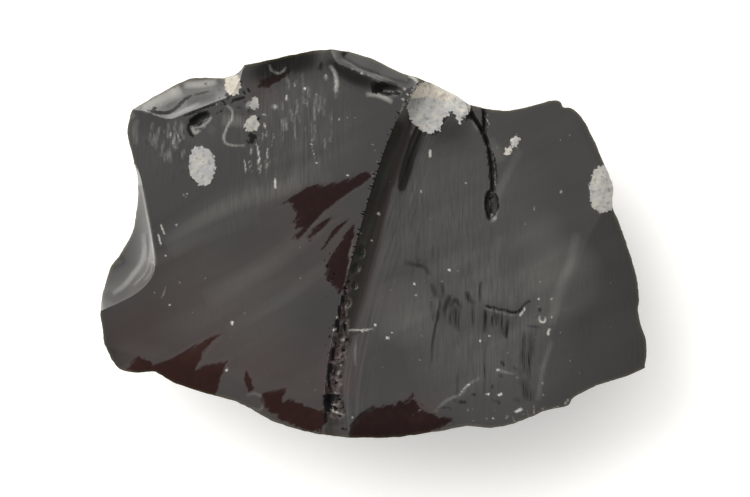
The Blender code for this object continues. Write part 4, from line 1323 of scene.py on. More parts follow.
FLANK_SCARS = (
    (0.040, 0.45, 10.5, 2.6), (0.125, 0.30, 13.0, 3.2), (0.205, 0.50, 9.0, 2.4),
    (0.265, 0.30, 9.0, 2.6), (0.340, 0.55, 13.5, 3.2), (0.415, 0.25, 9.0, 2.5),
    (0.490, 0.45, 11.5, 2.9), (0.575, 0.30, 9.5, 2.8), (0.655, 0.50, 13.5, 3.3),
    (0.745, 0.30, 10.5, 3.0), (0.820, 0.45, 9.0, 2.5), (0.900, 0.55, 10.0, 2.4),
    (0.965, 0.35, 7.5, 1.9), (0.080, 0.85, 8.5, 2.4), (0.175, 0.90, 9.5, 2.2),
    (0.285, 0.85, 8.5, 2.4), (0.450, 0.88, 9.0, 2.3), (0.560, 0.85, 8.5, 2.5),
    (0.720, 0.85, 10.0, 2.9), (0.860, 0.90, 8.5, 2.1),
)  # share of the rim's length, share of the way down, radius, depth


@dataclass
class Flanks:
    """Hollow scars from the rim down to the back, and the back itself.

    Attributes:
        turn: in plan a point has gone share ** turn of the way in.
        soften: share over which the scars ease in at the rim and at the back.
        full_fall: where the rim is lower than this, the scars are shallower.
        rings: rings of points between the rim and the back.
        crowding: power that sets the rings closer together near the rim.
        ripple: height of the ripples that spread from the middle of each scar.
        ripple_length: distance from one of them to the next.
        crest_hold: how much shallower the scars are beside the crest's top, from 0 to 1.
        crest_reach: how far along the rim that reaches.
        back_rings: rings between the back's edge and its middle.
        back_dish: how far the back's middle is hollowed.
        back_middle: plan x and y of that middle.
    """

    turn: float = 1.8
    soften: float = 0.18
    full_fall: float = 13.0
    rings: int = 36
    crowding: float = 1.2
    ripple: float = 0.035
    ripple_length: float = 1.3
    crest_hold: float = 0.85
    crest_reach: float = 5.0
    back_rings: int = 7
    back_dish: float = 0.25
    back_middle: Pair = (0.5, -1.0)

    def downs(self) -> Array:
        """Share of the way down of each ring."""
        return np.linspace(0.0, 1.0, self.rings + 1)[1:] ** self.crowding

    def ring(self, rim: Array, foot: Array, down: float) -> Array:
        """The flank's ring at a share of the way down, before its scars."""
        plan = (foot - rim[:, :2]) * down ** self.turn
        return np.hstack([rim[:, :2] + plan, rim[:, 2:] * (1.0 - down)])

    def kept(self, rim: Array) -> Array:
        """Share of the scars' depth kept: less where the face falls close to the rim."""
        far = np.hypot(rim[:, 0] - CREST_TOP[0], rim[:, 1] - CREST_TOP[1])
        return 1.0 - self.crest_hold * np.exp(-(far / self.crest_reach) ** 2)

    def points(self, rim: Array, downs: Array) -> list[Array]:
        """Rings of points from under the rim to the back.

        The deepest bowl at a point pushes it in by depth * (1 - (distance / radius)^2).
        The push eases in below the rim, and is level, not up, at the back.

        Args:
            rim: points of the rim in order, counter-clockwise.
            downs: share of the way down of each ring.

        Returns:
            One array of points for each share.
        """
        closed = np.vstack([rim[:, :2], rim[:1, :2]])
        share = (lengths(closed) / lengths(closed)[-1])[:-1]
        foot = resample(np.array(BACK), share)
        plan = foot - rim[:, :2]
        inset = np.linalg.norm(plan, axis=1)[:, None]
        into = np.hstack([plan * rim[:, 2:] / inset, inset])
        into /= np.linalg.norm(into, axis=1)[:, None]
        middles = [self.ring(rim, foot, down)[np.abs(share - at).argmin()]
                   for at, down, _, _ in FLANK_SCARS]
        radii, depths = np.array(FLANK_SCARS)[:, 2:].T[..., None]
        rings = []
        for down in downs:
            ring = self.ring(rim, foot, down)
            gaps = np.stack([np.linalg.norm(ring - middle, axis=1) for middle in middles])
            bowls = depths * (1.0 - (gaps / radii) ** 2)
            deepest = bowls.argmax(axis=0)
            push = np.maximum(bowls.max(axis=0), 0.0)
            gap = np.take_along_axis(gaps, deepest[None], axis=0)[0]
            push += self.ripple * np.sin(2 * np.pi * gap / self.ripple_length)
            push *= min(1.0, down / self.soften) * np.minimum(rim[:, 2] / self.full_fall, 1.0)
            push *= self.kept(rim)
            lift = min(1.0, (1.0 - down) / self.soften)
            rings.append(ring + into * np.array([1.0, 1.0, lift]) * push[:, None])
        return rings

    def back(self, edge: Array) -> list[Array]:
        """Rings from the back's edge to its middle, hollowed by dish * (1 - r^2).

        Args:
            edge: points of the lowest ring of the flanks.

        Returns:
            One array of points for each ring.
        """
        middle = np.array([*self.back_middle, 0.0])
        rings = []
        for r in np.linspace(1.0, 0.0, self.back_rings + 1)[1:-1]:
            ring = middle + r * (edge - middle)
            ring[:, 2] = self.back_dish * (1.0 - r * r)
            rings.append(ring)
        return rings


# ---------------- finishes


class NodeTree:
    """Adds shader nodes to a material or world and links them.

    Args:
        owner: the material or world whose nodes are replaced.
    """

    def __init__(self, owner: bpy.types.Material | bpy.types.World) -> None:
        """Start from an empty tree."""
        owner.use_nodes = True
        self.tree = owner.node_tree
        self.tree.nodes.clear()

    def node(self, kind: str, inputs: dict[str | int, Value] | None = None,
             **settings: object) -> bpy.types.Node:
        """Add a node, set its properties, and link or set its inputs.

        Args:
            kind: the node's Blender type.
            inputs: value or output socket for each input, by name or number.
            **settings: properties of the node itself.

        Returns:
            The new node.
        """
        node = self.tree.nodes.new(kind)
        for name, value in settings.items():
            setattr(node, name, value)
        for key, value in (inputs or {}).items():
            if isinstance(value, bpy.types.NodeSocket):
                self.tree.links.new(value, node.inputs[key])
            else:
                node.inputs[key].default_value = value
        return node

    def math(self, operation: str, *values: Value) -> Socket:
        """Output of a Math node on one to three values."""
        return self.node("ShaderNodeMath", dict(enumerate(values)), operation=operation).outputs[0]

    def vector(self, operation: str, *values: Value) -> Socket:
        """Vector output of a Vector Math node."""
        node = self.node("ShaderNodeVectorMath", dict(enumerate(values)), operation=operation)
        return node.outputs[0]

    def scaled(self, vector: Value, factor: Value) -> Socket:
        """A vector or colour times a factor."""
        return self.node("ShaderNodeVectorMath", {0: vector, "Scale": factor},
                         operation="SCALE").outputs[0]

    def attribute(self, name: str) -> Socket:
        """Value of a named attribute of the mesh."""
        return self.node("ShaderNodeAttribute", attribute_name=name).outputs["Fac"]

    def noise(self, place: Socket, scale: float, detail: float = 2.0) -> Socket:
        """Noise from 0 to 1 at a place given in millimetres."""
        inputs = {"Vector": place, "Scale": scale, "Detail": detail}
        return self.node("ShaderNodeTexNoise", inputs).outputs["Fac"]

    def by_crest(self, stretch: Pair, first: str = "beyond", second: str = "along") -> Socket:
        """Noise on the distances beyond and along the crest, each times its stretch."""
        place = self.node("ShaderNodeCombineXYZ", {
            0: self.math("MULTIPLY", self.attribute(first), stretch[0]),
            1: self.math("MULTIPLY", self.attribute(second), stretch[1])})
        return self.noise(place.outputs[0], 1.0)

    def drawn(self, place: Socket, heading: float, stretch: Pair) -> Socket:
        """Noise drawn out along a heading in degrees from +X."""
        turned = self.node("ShaderNodeVectorRotate", {
            "Vector": place, "Angle": -np.radians(heading)}, rotation_type="Z_AXIS").outputs[0]
        return self.noise(self.vector("MULTIPLY", turned, (*stretch, 0.0)), 1.0, 3.0)

    def ramp(self, value: Socket, low: float, high: float, to_low: float = 0.0,
             to_high: float = 1.0) -> Socket:
        """Value eased from one range to another, clamped at both ends."""
        inputs = {0: value, 1: low, 2: high, 3: to_low, 4: to_high}
        node = self.node("ShaderNodeMapRange", inputs, interpolation_type="SMOOTHSTEP")
        return node.outputs[0]

    def mix(self, share: Socket, first: Value, second: Value) -> Socket:
        """Colour between two colours."""
        node = self.node("ShaderNodeMix", {"Factor": share, 6: first, 7: second},
                         data_type="RGBA")
        return node.outputs[2]


@dataclass(frozen=True)
class GlassFinish:
    """Black volcanic glass with its maroon facets, haze, breaks, crusts and powder. Part of its
    colour is painted light: sheen and highlights in the milky haze, a maroon reflection on the
    facets, a glow along the thin rim, and shade in breaks, cracks, pits and soft veils.

    A stretch tells how much finer than 1 mm a noise is along X, Y and Z, or along and
    across a heading in degrees from +X, or beyond and along the crest.
    """

    body: Colour = (0.0060, 0.0057, 0.0052, 1.0)
    # milky colour of the haze, also laid on as painted sheen
    milk: Colour = (0.200, 0.196, 0.184, 1.0)
    # painted reflection: maroon of warm reddish surroundings on the leaning facets, dark and warm
    dark_maroon_reflection: Colour = (0.0250, 0.0135, 0.0135, 1.0)
    warm_maroon_reflection: Colour = (0.0420, 0.0195, 0.0170, 1.0)
    ripple: Colour = (0.0330, 0.0345, 0.0260, 1.0)
    stria: Colour = (0.0600, 0.0560, 0.0520, 1.0)
    blush: Colour = (0.0300, 0.0110, 0.0110, 1.0)
    ledge: Colour = (0.0420, 0.0320, 0.0300, 1.0)
    crumb: Colour = (0.1900, 0.1550, 0.1500, 1.0)
    umber: Colour = (0.0340, 0.0285, 0.0265, 1.0)
    # painted light: olive glow along the thin rim, where light would shine through the glass and
    # warm surroundings reflect
    olive_edge_glow: Colour = (0.0500, 0.0420, 0.0220, 1.0)
    # painted shade: near black for breaks, cracks, pits, ticks and soft shade
    soot: Colour = (0.0020, 0.0020, 0.0020, 1.0)
    powder: Colour = (0.400, 0.390, 0.365, 1.0)
    crystal: Colour = (0.285, 0.290, 0.290, 1.0)
    cream: Colour = (0.460, 0.425, 0.365, 1.0)
    roughness: float = 0.16
    band_roughness: float = 0.34
    crust_roughness: float = 0.65
    refraction: float = 1.49
    flow_heading: float = 27.0
    flow_stretch: Pair = (0.04, 0.33)
    flow_drift: Ramp = (0.30, 0.70, 0.78, 1.22)
    feather_heading: float = 40.0
    feather_stretch: Pair = (0.25, 1.6)
    feather_size: float = 1.3
    flame_ramp: Ramp = (-0.42, 0.50, 0.0, 0.95)
    flame_mottle: Ramp = (0.3, 0.7, -0.25, 0.25)
    bloom_ramp: Ramp = (-0.05, 0.08)
    band_start: Ramp = (0.0, 0.03)
    band_end: Ramp = (0.85, 1.05, 1.0, 0.0)
    inner_band: Ramp = (0.40, 0.60, 1.0, 0.0)
    rim_ramp: Ramp = (0.0, 0.40, 0.8, 0.0)
    streak_stretch: Lean = (5.5, 0.35, 1.0)
    streak_drift: Ramp = (0.25, 0.75, -0.6, 0.6)
    least_brushed: float = 0.12
    # painted sheen laid evenly over the whole face
    least_haze_and_sheen: float = 0.045
    teeth_stretch: Lean = (7.0, 0.6, 1.0)
    dark_shade_ramp: Ramp = (0.30, 0.75)
    powder_ramp: Ramp = (0.15, 1.00)
    soft_shade_ramp: Ramp = (0.05, 1.00)
    dark_shade_break: float = 1.3
    powder_break: float = 0.8
    soft_shade_break: float = 0.9
    tick_stretch: Pair = (3.2, 0.6)
    tick_reach: Ramp = (0.45, 0.75, -0.1, 0.75)
    tick_start: Ramp = (17.0, 24.0)
    ledge_shade: Ramp = (0.55, 0.66)
    ledge_powder: Ramp = (0.44, 0.68, 0.0, 0.7)
    speck_ramp: Ramp = (0.60, 1.0, 0.0, 0.32)
    line_stretch: Pair = (3.0, 0.08)
    line_ramp: Ramp = (0.40, 0.66, 0.0, 0.085)
    line_start: Ramp = (1.0, 2.0)
    line_end: Ramp = (3.0, 7.0, 1.0, 0.0)
    ripple_stretch: Pair = (0.35, 3.0)
    ripple_ramp: Ramp = (0.35, 0.62)
    stria_stretch: Pair = (5.0, 0.06)
    stria_ramp: Ramp = (0.56, 0.72, 0.0, 0.5)
    tint_ramp: Ramp = (0.35, 0.75, -0.15, 0.5)
    pore_ramp: Ramp = (0.30, 0.48, 0.45, 0.0)
    flame_lean: Lean = (0.42, -0.05, 0.0)
    break_lean: Lean = (0.50, -0.10, 0.0)
    soft_shade_lean: Lean = (0.175, -0.03, 0.0)
    crust_lift: Lean = (0.0, 0.0, 1.2)

    def material(self) -> bpy.types.Material:
        """The finish as a node material.

        Returns:
            The material, which reads the masks stored on the mesh's points.
        """
        material = bpy.data.materials.new("volcanic_glass")
        tree = NodeTree(material)
        metres = tree.node("ShaderNodeTexCoord").outputs["Object"]
        place = tree.scaled(metres, 1.0 / MM)
        masks = self.masks(tree, place) | self.broken_masks(tree, place)
        shader = tree.node("ShaderNodeBsdfPrincipled", {
            "Base Color": self.colour(tree, place, masks),
            "Roughness": self.gloss(tree, masks), "IOR": self.refraction,
            "Normal": self.normal(tree, place, masks)})
        tree.node("ShaderNodeOutputMaterial", {"Surface": shader.outputs[0]})
        return material

    def masks(self, tree: NodeTree, place: Socket) -> dict[str, Socket]:
        """Where facets, crusts, the band, the rim and specks lie, from 0 to 1.

        Args:
            tree: the material's nodes.
            place: the place in millimetres.

        Returns:
            One socket for each mask, by name.
        """
        fine = tree.math("SUBTRACT", tree.noise(place, 3.0, 5.0), 0.5)
        feather = tree.drawn(place, self.feather_heading, self.feather_stretch)
        feather = tree.math("MULTIPLY_ADD", tree.math("SUBTRACT", feather, 0.5),
                            self.feather_size, tree.math("MULTIPLY", fine, 0.5))
        flame = tree.math("ADD", feather, tree.attribute("flame_edge"))
        bloom = tree.math("ADD", fine, tree.attribute("bloom_edge"))
        share = tree.attribute("band_share")
        edge = tree.math("MULTIPLY_ADD", fine, 0.5, tree.attribute("rim_gap"))
        cells = tree.node("ShaderNodeTexVoronoi", {
            "Vector": tree.vector("MULTIPLY", place, (1.0, 0.6, 1.0)), "Scale": 0.8},
            feature="F1").outputs
        chosen = tree.node("ShaderNodeSeparateColor", {0: cells["Color"]}).outputs[0]
        speck = tree.ramp(cells["Distance"], 0.02, 0.08, 1.0, 0.0)
        return {
            "streak": tree.noise(tree.vector("MULTIPLY", place, self.streak_stretch), 1.0, 3.0),
            "flow": tree.drawn(place, self.flow_heading, self.flow_stretch),
            "flame": tree.ramp(flame, *self.flame_ramp),
            "bloom": tree.ramp(bloom, *self.bloom_ramp),
            "band": tree.math("MULTIPLY", tree.ramp(share, *self.band_start),
                              tree.ramp(share, *self.band_end)),
            "inner_band": tree.ramp(share, *self.inner_band),
            # where the painted glow along the thin rim lies
            "rim": tree.ramp(edge, *self.rim_ramp),
            "speck": tree.math("MULTIPLY", speck, tree.ramp(chosen, *self.speck_ramp)),
        }

    def broken_masks(self, tree: NodeTree, place: Socket) -> dict[str, Socket]:
        """Where painted dark shade, powder and painted soft shade lie, broken up by noise, and so
        on the ledge.

        Args:
            tree: the material's nodes.
            place: the place in millimetres.

        Returns:
            One socket for each mask, by name.
        """
        masks = {}
        crumbs = tree.noise(place, 4.5, 2.0)
        teeth = tree.noise(tree.vector("MULTIPLY", place, self.teeth_stretch), 1.0, 2.0)
        for name, broken, reach, ramp in (("soot", crumbs, self.dark_shade_break, self.dark_shade_ramp),
                                          ("powder", crumbs, self.powder_break, self.powder_ramp),
                                          ("smudge", teeth, self.soft_shade_break, self.soft_shade_ramp)):
            value = tree.attribute(name)
            allowed = tree.ramp(value, 0.0, 0.3, 0.0, reach)
            uneven = tree.math("MULTIPLY_ADD", tree.math("SUBTRACT", broken, 0.5), allowed, value)
            masks[name] = tree.ramp(uneven, *ramp)
        beyond, along = tree.attribute("beyond"), tree.attribute("along")
        # ticks: painted shade in short dark notches just beyond the crest
        tick = tree.by_crest(self.tick_stretch, "along", "beyond")
        reach = tree.math("MULTIPLY", tree.ramp(tick, *self.tick_reach),
                          tree.ramp(along, *self.tick_start))
        masks["tick"] = tree.math("MULTIPLY", tree.ramp(tree.math("ADD", beyond, reach), 0.0, 0.1),
                                  tree.ramp(beyond, 0.0, 0.1, 0.85, 0.0))
        ledge = tree.attribute("ledge")
        masks["ledge"] = tree.ramp(ledge, 0.1, 0.6)
        # painted shade in the pits of the crumbled ledge
        masks["ledge_shade"] = tree.math("MULTIPLY", masks["ledge"], tree.ramp(
            tree.noise(place, 1.6, 3.0), *self.ledge_shade))
        elsewhere = tree.vector("ADD", place, (17.0, 5.0, 0.0))
        masks["ledge_powder"] = tree.math("MULTIPLY", ledge, tree.ramp(
            tree.noise(elsewhere, 1.8, 4.0), *self.ledge_powder))
        return masks

    def haze_and_sheen(self, tree: NodeTree, masks: dict[str, Socket]) -> Socket:
        """Share of milky colour: the glass's haze and lines together with painted sheen, made
        uneven by flow and streaks.

        Args:
            tree: the material's nodes.
            masks: the masks by name.

        Returns:
            The share, as a socket.
        """
        beyond = tree.attribute("beyond")
        drift = tree.ramp(masks["flow"], *self.flow_drift)
        brushed = tree.math("MULTIPLY", tree.ramp(masks["streak"], *self.streak_drift),
                            tree.math("ADD", tree.attribute("brushed"), self.least_brushed))
        lines = tree.ramp(tree.by_crest(self.line_stretch), *self.line_ramp)
        beside = tree.math("MULTIPLY", tree.ramp(beyond, *self.line_start),
                           tree.ramp(beyond, *self.line_end))
        haze_and_sheen = tree.math("MULTIPLY_ADD", lines, beside, tree.attribute("milk"))
        uneven = tree.math("MULTIPLY", drift, tree.math("ADD", brushed, 1.0))
        return tree.math("MULTIPLY", uneven, tree.math("ADD", haze_and_sheen, self.least_haze_and_sheen))

    def crust(self, tree: NodeTree, place: Socket) -> Socket:
        """Colour of the crystal crusts: crystal to cream, as light as stored, with pores.

        Args:
            tree: the material's nodes.
            place: the place in millimetres.

        Returns:
            The colour, as a socket.
        """
        tint = tree.math("ADD", tree.attribute("cream"), tree.ramp(
            tree.noise(place, 1.1, 2.0), *self.tint_ramp))
        tint.node.use_clamp = True
        crust = tree.scaled(tree.mix(tint, self.crystal, self.cream), tree.attribute("light"))
        pores = tree.ramp(tree.noise(place, 2.4, 4.0), *self.pore_ramp)
        return tree.mix(pores, crust, self.umber)

    def colour(self, tree: NodeTree, place: Socket, masks: dict[str, Socket]) -> Socket:
        """Base colour: the glass, then each mark over it in turn.

        Args:
            tree: the material's nodes.
            place: the place in millimetres.
            masks: the masks by name.

        Returns:
            The colour, as a socket.
        """
        body = tree.mix(tree.attribute("blush"), self.body, self.blush)
        # milky haze and painted sheen over the black glass
        colour = tree.mix(self.haze_and_sheen(tree, masks), body, self.milk)
        ripple = tree.ramp(tree.by_crest(self.ripple_stretch), *self.ripple_ramp)
        ripple = tree.math("MULTIPLY", ripple, masks["inner_band"])
        stria = tree.ramp(tree.by_crest(self.stria_stretch), *self.stria_ramp)
        band = tree.mix(stria, tree.mix(ripple, self.umber, self.ripple), self.stria)
        mottle = tree.ramp(tree.noise(place, 1.3, 4.0), *self.flame_mottle)
        reflection_warmth = tree.math("ADD", mottle, tree.attribute("reflection_warmth"))
        reflection_warmth.node.use_clamp = True
        maroon_reflection = tree.mix(reflection_warmth, self.dark_maroon_reflection, self.warm_maroon_reflection)
        # painted light among these: the maroon on facets is a painted reflection, the olive at the
        # rim a painted glow, and soft shade, ticks, ledge shade and dark shade are painted shade
        for name, tone in (("band", band), ("ledge", self.ledge), ("flame", maroon_reflection),
                           ("rim", self.olive_edge_glow), ("smudge", self.soot), ("tick", self.soot),
                           ("ledge_shade", self.soot), ("ledge_powder", self.crumb),
                           ("soot", self.soot), ("powder", self.powder), ("speck", self.powder),
                           ("bloom", self.crust(tree, place))):
            colour = tree.mix(masks[name], colour, tone)
        return colour

    def gloss(self, tree: NodeTree, masks: dict[str, Socket]) -> Socket:
        """Roughness: the glass, rougher on the band, and matt on crusts, powder and breaks.

        Args:
            tree: the material's nodes.
            masks: the masks by name.

        Returns:
            The roughness, as a socket.
        """
        rough = tree.ramp(masks["band"], 0.0, 1.0, self.roughness, self.band_roughness)
        matt = tree.math("MAXIMUM", masks["bloom"], masks["powder"])
        matt = tree.math("MAXIMUM", matt, masks["soot"])
        return tree.math("MAXIMUM", rough, tree.math("MULTIPLY", matt, self.crust_roughness))

    def normal(self, tree: NodeTree, place: Socket, masks: dict[str, Socket]) -> Socket:
        """Surface normal: fine drawn-out grain, and the lean of facets and breaks.

        Each mask adds its lean to the normal, which is then made a unit long. Crusts
        stand clear of the other leans and are lifted towards +Z.

        Args:
            tree: the material's nodes.
            place: the place in millimetres.
            masks: the masks by name.

        Returns:
            The normal, as a socket.
        """
        height = tree.math("MULTIPLY_ADD", masks["streak"], 2.0, tree.noise(place, 14.0, 2.0))
        normal = tree.node("ShaderNodeBump", {
            "Height": height, "Strength": 0.25, "Distance": 0.01 * MM}).outputs[0]
        broken = tree.math("MAXIMUM", masks["soot"], masks["ledge_shade"])
        broken = tree.math("MAXIMUM", broken, masks["tick"])
        bare = tree.math("SUBTRACT", 1.0, masks["bloom"])
        leans = ((masks["flame"], self.flame_lean), (broken, self.break_lean),
                 (masks["smudge"], self.soft_shade_lean),
                 (tree.attribute("turn"), (1.0, 0.0, 0.0)),
                 (tree.attribute("flatten"), (0.0, 0.0, 1.0)))
        shown = [(tree.math("MULTIPLY", mask, bare), lean) for mask, lean in leans]
        for mask, lean in shown + [(masks["bloom"], self.crust_lift)]:
            normal = tree.vector("ADD", normal, tree.scaled(lean, mask))
        return tree.vector("NORMALIZE", normal)


# ---------------- the chunk


@dataclass
class ObsidianChunk:
    """The whole chunk as one closed mesh.

    Attributes:
        face: the broad glassy face.
        flanks: the scars below the rim, and the back.
        finish: its glass.
        sharp_angle: edges that turn by more than this stay sharp, in degrees.
    """

    face: BroadFace = field(default_factory=BroadFace)
    flanks: Flanks = field(default_factory=Flanks)
    finish: GlassFinish = field(default_factory=GlassFinish)
    sharp_angle: float = 30.0

    def build(self) -> bpy.types.Object:
        """Make the mesh, its masks and its finish.

        Returns:
            The chunk's object.
        """
        grid = self.face.plan()
        on_path = self.face.snap(grid)
        x, y = grid[..., 0].ravel(), grid[..., 1].ravel()
        near = nearness(x, y, self.face.crest.path())
        columns = np.broadcast_to(np.arange(grid.shape[1]), grid.shape[:2]).ravel()
        z = self.face.height(x, y, columns > self.face.left_columns, near)
        z = self.face.soften_flank(z, x, y, on_path) + self.face.relief(x, y, near)
        top = np.column_stack([x, y, z])
        faces = [self.face.triangles(top.reshape(*grid.shape[:2], 3), on_path)]
        ring = self.face.ring(*grid.shape[:2])
        points, more = self.lower_part(top, ring)
        faces += more
        mesh = self.mesh(np.vstack([top] + points), np.vstack(faces))
        self.add_masks(mesh, x, y, near)
        mesh.materials.append(self.finish.material())
        piece = bpy.data.objects.new("obsidian_glass", mesh)
        bpy.context.scene.collection.objects.link(piece)
        return piece

    def lower_part(self, top: Array, ring: Numbers) -> tuple[list[Array], list[Numbers]]:
        """Points and triangles of the flanks and the back.

        Args:
            top: every point of the broad face.
            ring: numbers of the rim's points in order.

        Returns:
            The new points, ring by ring, and the triangles that join them.
        """
        first, *coarse = self.flanks.points(top[ring], self.flanks.downs())
        coarse = [points[::2] for points in coarse]
        coarse += self.flanks.back(coarse[-1])
        first_ring = len(top) + np.arange(len(first))
        upper = first_ring[-1] + 1 + np.arange(len(coarse[0]))
        faces = [self.band(ring, first_ring), self.halving(first_ring, upper)]
        for _ in coarse[1:]:
            lower = upper + len(upper)
            faces.append(self.band(upper, lower))
            upper = lower
        pole = np.array([[*self.flanks.back_middle, self.flanks.back_dish]])
        last = np.full(len(upper), upper[-1] + 1)
        faces.append(np.column_stack([np.roll(upper, -1), upper, last]))
        return [first, *coarse, pole], faces

    def band(self, upper: Numbers, lower: Numbers) -> Numbers:
        """Two triangles between each pair of neighbours on two equal rings."""
        after, below = np.roll(upper, -1), np.roll(lower, -1)
        return np.concatenate([np.column_stack([after, upper, lower]),
                               np.column_stack([after, lower, below])])

    def halving(self, upper: Numbers, lower: Numbers) -> Numbers:
        """Three triangles for each point of a ring with half as many points.

        Args:
            upper: numbers of the ring's points above.
            lower: those below.

        Returns:
            The numbers of each triangle's points.
        """
        even, odd = upper[::2], upper[1::2]
        after, below = np.roll(even, -1), np.roll(lower, -1)
        return np.concatenate([np.column_stack([odd, even, lower]),
                               np.column_stack([after, odd, below]),
                               np.column_stack([odd, lower, below])])

    def mesh(self, points: Array, faces: Numbers) -> bpy.types.Mesh:
        """One smooth mesh with its sharp edges marked.

        Args:
            points: the points in millimetres.
            faces: the numbers of each triangle's points.

        Returns:
            The mesh.
        """
        mesh = bpy.data.meshes.new("obsidian_glass")
        mesh.from_pydata(points * MM, [], faces)
        mesh.validate()
        mesh.shade_smooth()
        mesh.set_sharp_from_angle(angle=np.radians(self.sharp_angle))
        return mesh

    def add_masks(self, mesh: bpy.types.Mesh, x: Array, y: Array, near: Nearness) -> None:
        """Store each mark's distance or strength on the points of the face.

        Args:
            mesh: the chunk's mesh, whose first points are the face's.
            x, y: plan place of the face's points.
            near: how the points lie to the crest.
        """
        outside = -9.0
        for name, group, tones in (("flame", FLAMES, {"reflection_warmth": 0.0}),
                                   ("bloom", BLOOMS, {"cream": 0.0, "light": 1.0})):
            edges = np.stack([outline.edge(x, y) for outline in group.values()])
            self.store(mesh, name + "_edge", edges.max(axis=0), outside)
            for tone, elsewhere in tones.items():
                values = np.array([getattr(outline, tone) for outline in group.values()])
                self.store(mesh, tone, values[edges.argmax(axis=0)], elsewhere)
        for layer, marks in MARKS.items():
            values = np.stack([np.zeros_like(x)] + [mark.value(x, y) for mark in marks])
            total = values.max(axis=0) if layer in STRONGEST else values.sum(axis=0)
            if layer in (Layer.MILK, Layer.FLATTEN):
                total += self.inside_scars(layer, x, y)
            self.store(mesh, layer.value, total, 0.0)
        crest = self.face.crest
        beyond = -near.side * near.far
        self.store(mesh, "beyond", beyond, outside)
        self.store(mesh, "along", near.share * lengths(crest.path())[-1], 0.0)
        self.store(mesh, "band_share", beyond / crest.band_width(near), outside)
        self.store(mesh, "ledge", crest.ledge(near), 0.0)
        rim = smooth_path(RIM, 2 * PATH_STEP)
        self.store(mesh, "rim_gap", nearness(x, y, rim).far, -outside)

    def inside_scars(self, layer: Layer, x: Array, y: Array) -> Array:
        """Sum of a layer's marks that stop at their scar's arris.

        Args:
            layer: milk and painted sheen, or flatten.
            x, y: plan place of each point.

        Returns:
            The sum at each point.
        """
        total = np.zeros_like(x)
        for name, scar_marks in SCAR_MARKS.items():
            near = nearness(x, y, LEFT_SCARS[name].path())
            inside = ease(near.far * near.side, -0.25, -0.05)
            total += inside * sum(mark.value(x, y) for mark in getattr(scar_marks, layer.value))
        return total

    def store(self, mesh: bpy.types.Mesh, name: str, values: Array, elsewhere: float) -> None:
        """Add one value for each point: those given for the face, and one for the rest."""
        whole = np.full(len(mesh.vertices), elsewhere, np.float32)
        whole[:len(values)] = values
        mesh.attributes.new(name, "FLOAT", "POINT").data.foreach_set("value", whole)


# ---------------- floor, light, camera


@dataclass(frozen=True)
class PaleFloor:
    """The plain pale floor that the chunk lies on."""

    half_width: float = 1500.0
    colour: Colour = (0.90, 0.90, 0.89, 1.0)
    glow: float = 0.25

    def build(self) -> bpy.types.Object:
        """One flat square at the height of the chunk's back.

        Returns:
            The floor's object.
        """
        h = self.half_width * MM
        mesh = bpy.data.meshes.new("pale_floor")
        mesh.from_pydata([(-h, -h, 0.0), (h, -h, 0.0), (h, h, 0.0), (-h, h, 0.0)], [],
                         [(0, 1, 2, 3)])
        material = bpy.data.materials.new("pale_floor")
        tree = NodeTree(material)
        shader = tree.node("ShaderNodeBsdfPrincipled", {
            "Base Color": self.colour, "Roughness": 0.9, "Specular IOR Level": 0.1,
            "Emission Color": self.colour, "Emission Strength": self.glow})
        tree.node("ShaderNodeOutputMaterial", {"Surface": shader.outputs[0]})
        mesh.materials.append(material)
        floor = bpy.data.objects.new("pale_floor", mesh)
        bpy.context.scene.collection.objects.link(floor)
        return floor


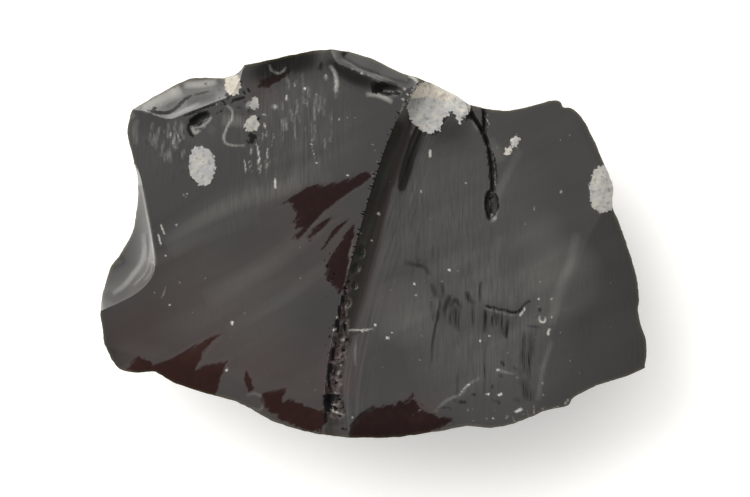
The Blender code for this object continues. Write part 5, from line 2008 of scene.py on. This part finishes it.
@dataclass(frozen=True)
class Studio:
    """Soft light: a broad panel overhead, a key from the upper left, dark to the right."""

    panel: float = 1.14
    key: float = 4.0
    fill: float = 1.15
    base: float = 0.025
    key_direction: Lean = (-0.60, 0.52, 0.61)
    key_edge: Ramp = (0.86, 0.95)
    fill_direction: Lean = (-0.71, 0.71, 0.0)
    fill_edge: Ramp = (0.05, 0.45)
    left_edge: Ramp = (-0.50, 0.02, 0.35, 1.0)
    right_edge: Ramp = (0.28, 0.50, 1.0, 0.0)
    near_edge: Ramp = (-0.92, -0.80)
    horizon: Ramp = (0.0, 0.1)
    light: Colour = (1.0, 0.985, 0.955, 1.0)

    def build(self) -> None:
        """Set the world that lights the scene."""
        world = bpy.data.worlds.new("studio")
        bpy.context.scene.world = world
        tree = NodeTree(world)
        direction = tree.node("ShaderNodeTexCoord").outputs["Generated"]
        axes = tree.node("ShaderNodeSeparateXYZ", {0: direction}).outputs
        left = tree.ramp(axes[0], *self.left_edge)
        right = tree.ramp(axes[0], *self.right_edge)
        near = tree.ramp(axes[1], *self.near_edge)
        up = tree.ramp(axes[2], *self.horizon)
        panel = tree.math("MULTIPLY", tree.math("MULTIPLY", left, right),
                          tree.math("MULTIPLY", near, up))
        toward, slant = (
            tree.node("ShaderNodeVectorMath", {0: direction, 1: way},
                      operation="DOT_PRODUCT").outputs["Value"]
            for way in (self.key_direction, self.fill_direction))
        key = tree.ramp(toward, *self.key_edge)
        fill = tree.math("MULTIPLY", tree.ramp(slant, *self.fill_edge), up)
        total = tree.math("MULTIPLY_ADD", panel, self.panel, self.base)
        total = tree.math("MULTIPLY_ADD", key, self.key, total)
        total = tree.math("MULTIPLY_ADD", fill, self.fill, total)
        sky = tree.node("ShaderNodeBackground", {"Color": self.light, "Strength": total})
        tree.node("ShaderNodeOutputWorld", {"Surface": sky.outputs[0]})
        view = bpy.context.scene.view_settings
        view.view_transform = "Standard"
        view.look = "None"


@dataclass(frozen=True)
class TopCamera:
    """A long lens that looks straight down on the broad face."""

    lens: float = 300.0
    sensor: float = 36.0
    frame_width: float = 90.0
    plane: float = 14.5
    centre: Pair = (0.18, -0.54)
    clip: Pair = (0.01, 20.0)

    def build(self) -> bpy.types.Object:
        """Place the camera so that the frame is as wide as wanted at the face's height.

        Returns:
            The camera's object.
        """
        data = bpy.data.cameras.new("top_camera")
        data.lens = self.lens
        data.sensor_width = self.sensor
        data.clip_start, data.clip_end = self.clip
        away = self.frame_width * self.lens / self.sensor
        camera = bpy.data.objects.new("top_camera", data)
        camera.location = Vector((*self.centre, self.plane + away)) * MM
        bpy.context.scene.collection.objects.link(camera)
        bpy.context.scene.camera = camera
        return camera


def main() -> None:
    """Build the chunk, its floor, its light and its camera."""
    logging.basicConfig(level=logging.INFO, format="%(name)s: %(message)s")
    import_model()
    chunk = ObsidianChunk().build()
    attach(chunk, BODY)
    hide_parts(NODE)
    log.info("%s: %d points, %d triangles", chunk.name, len(chunk.data.vertices),
             len(chunk.data.polygons))
    floor = PaleFloor().build()
    log.info("%s: %.1f m wide", floor.name, floor.dimensions.x)
    Studio().build()
    camera = TopCamera().build()
    log.info("%s: %.3f m above the floor", camera.name, camera.location.z)


if __name__ == "__main__":
    main()
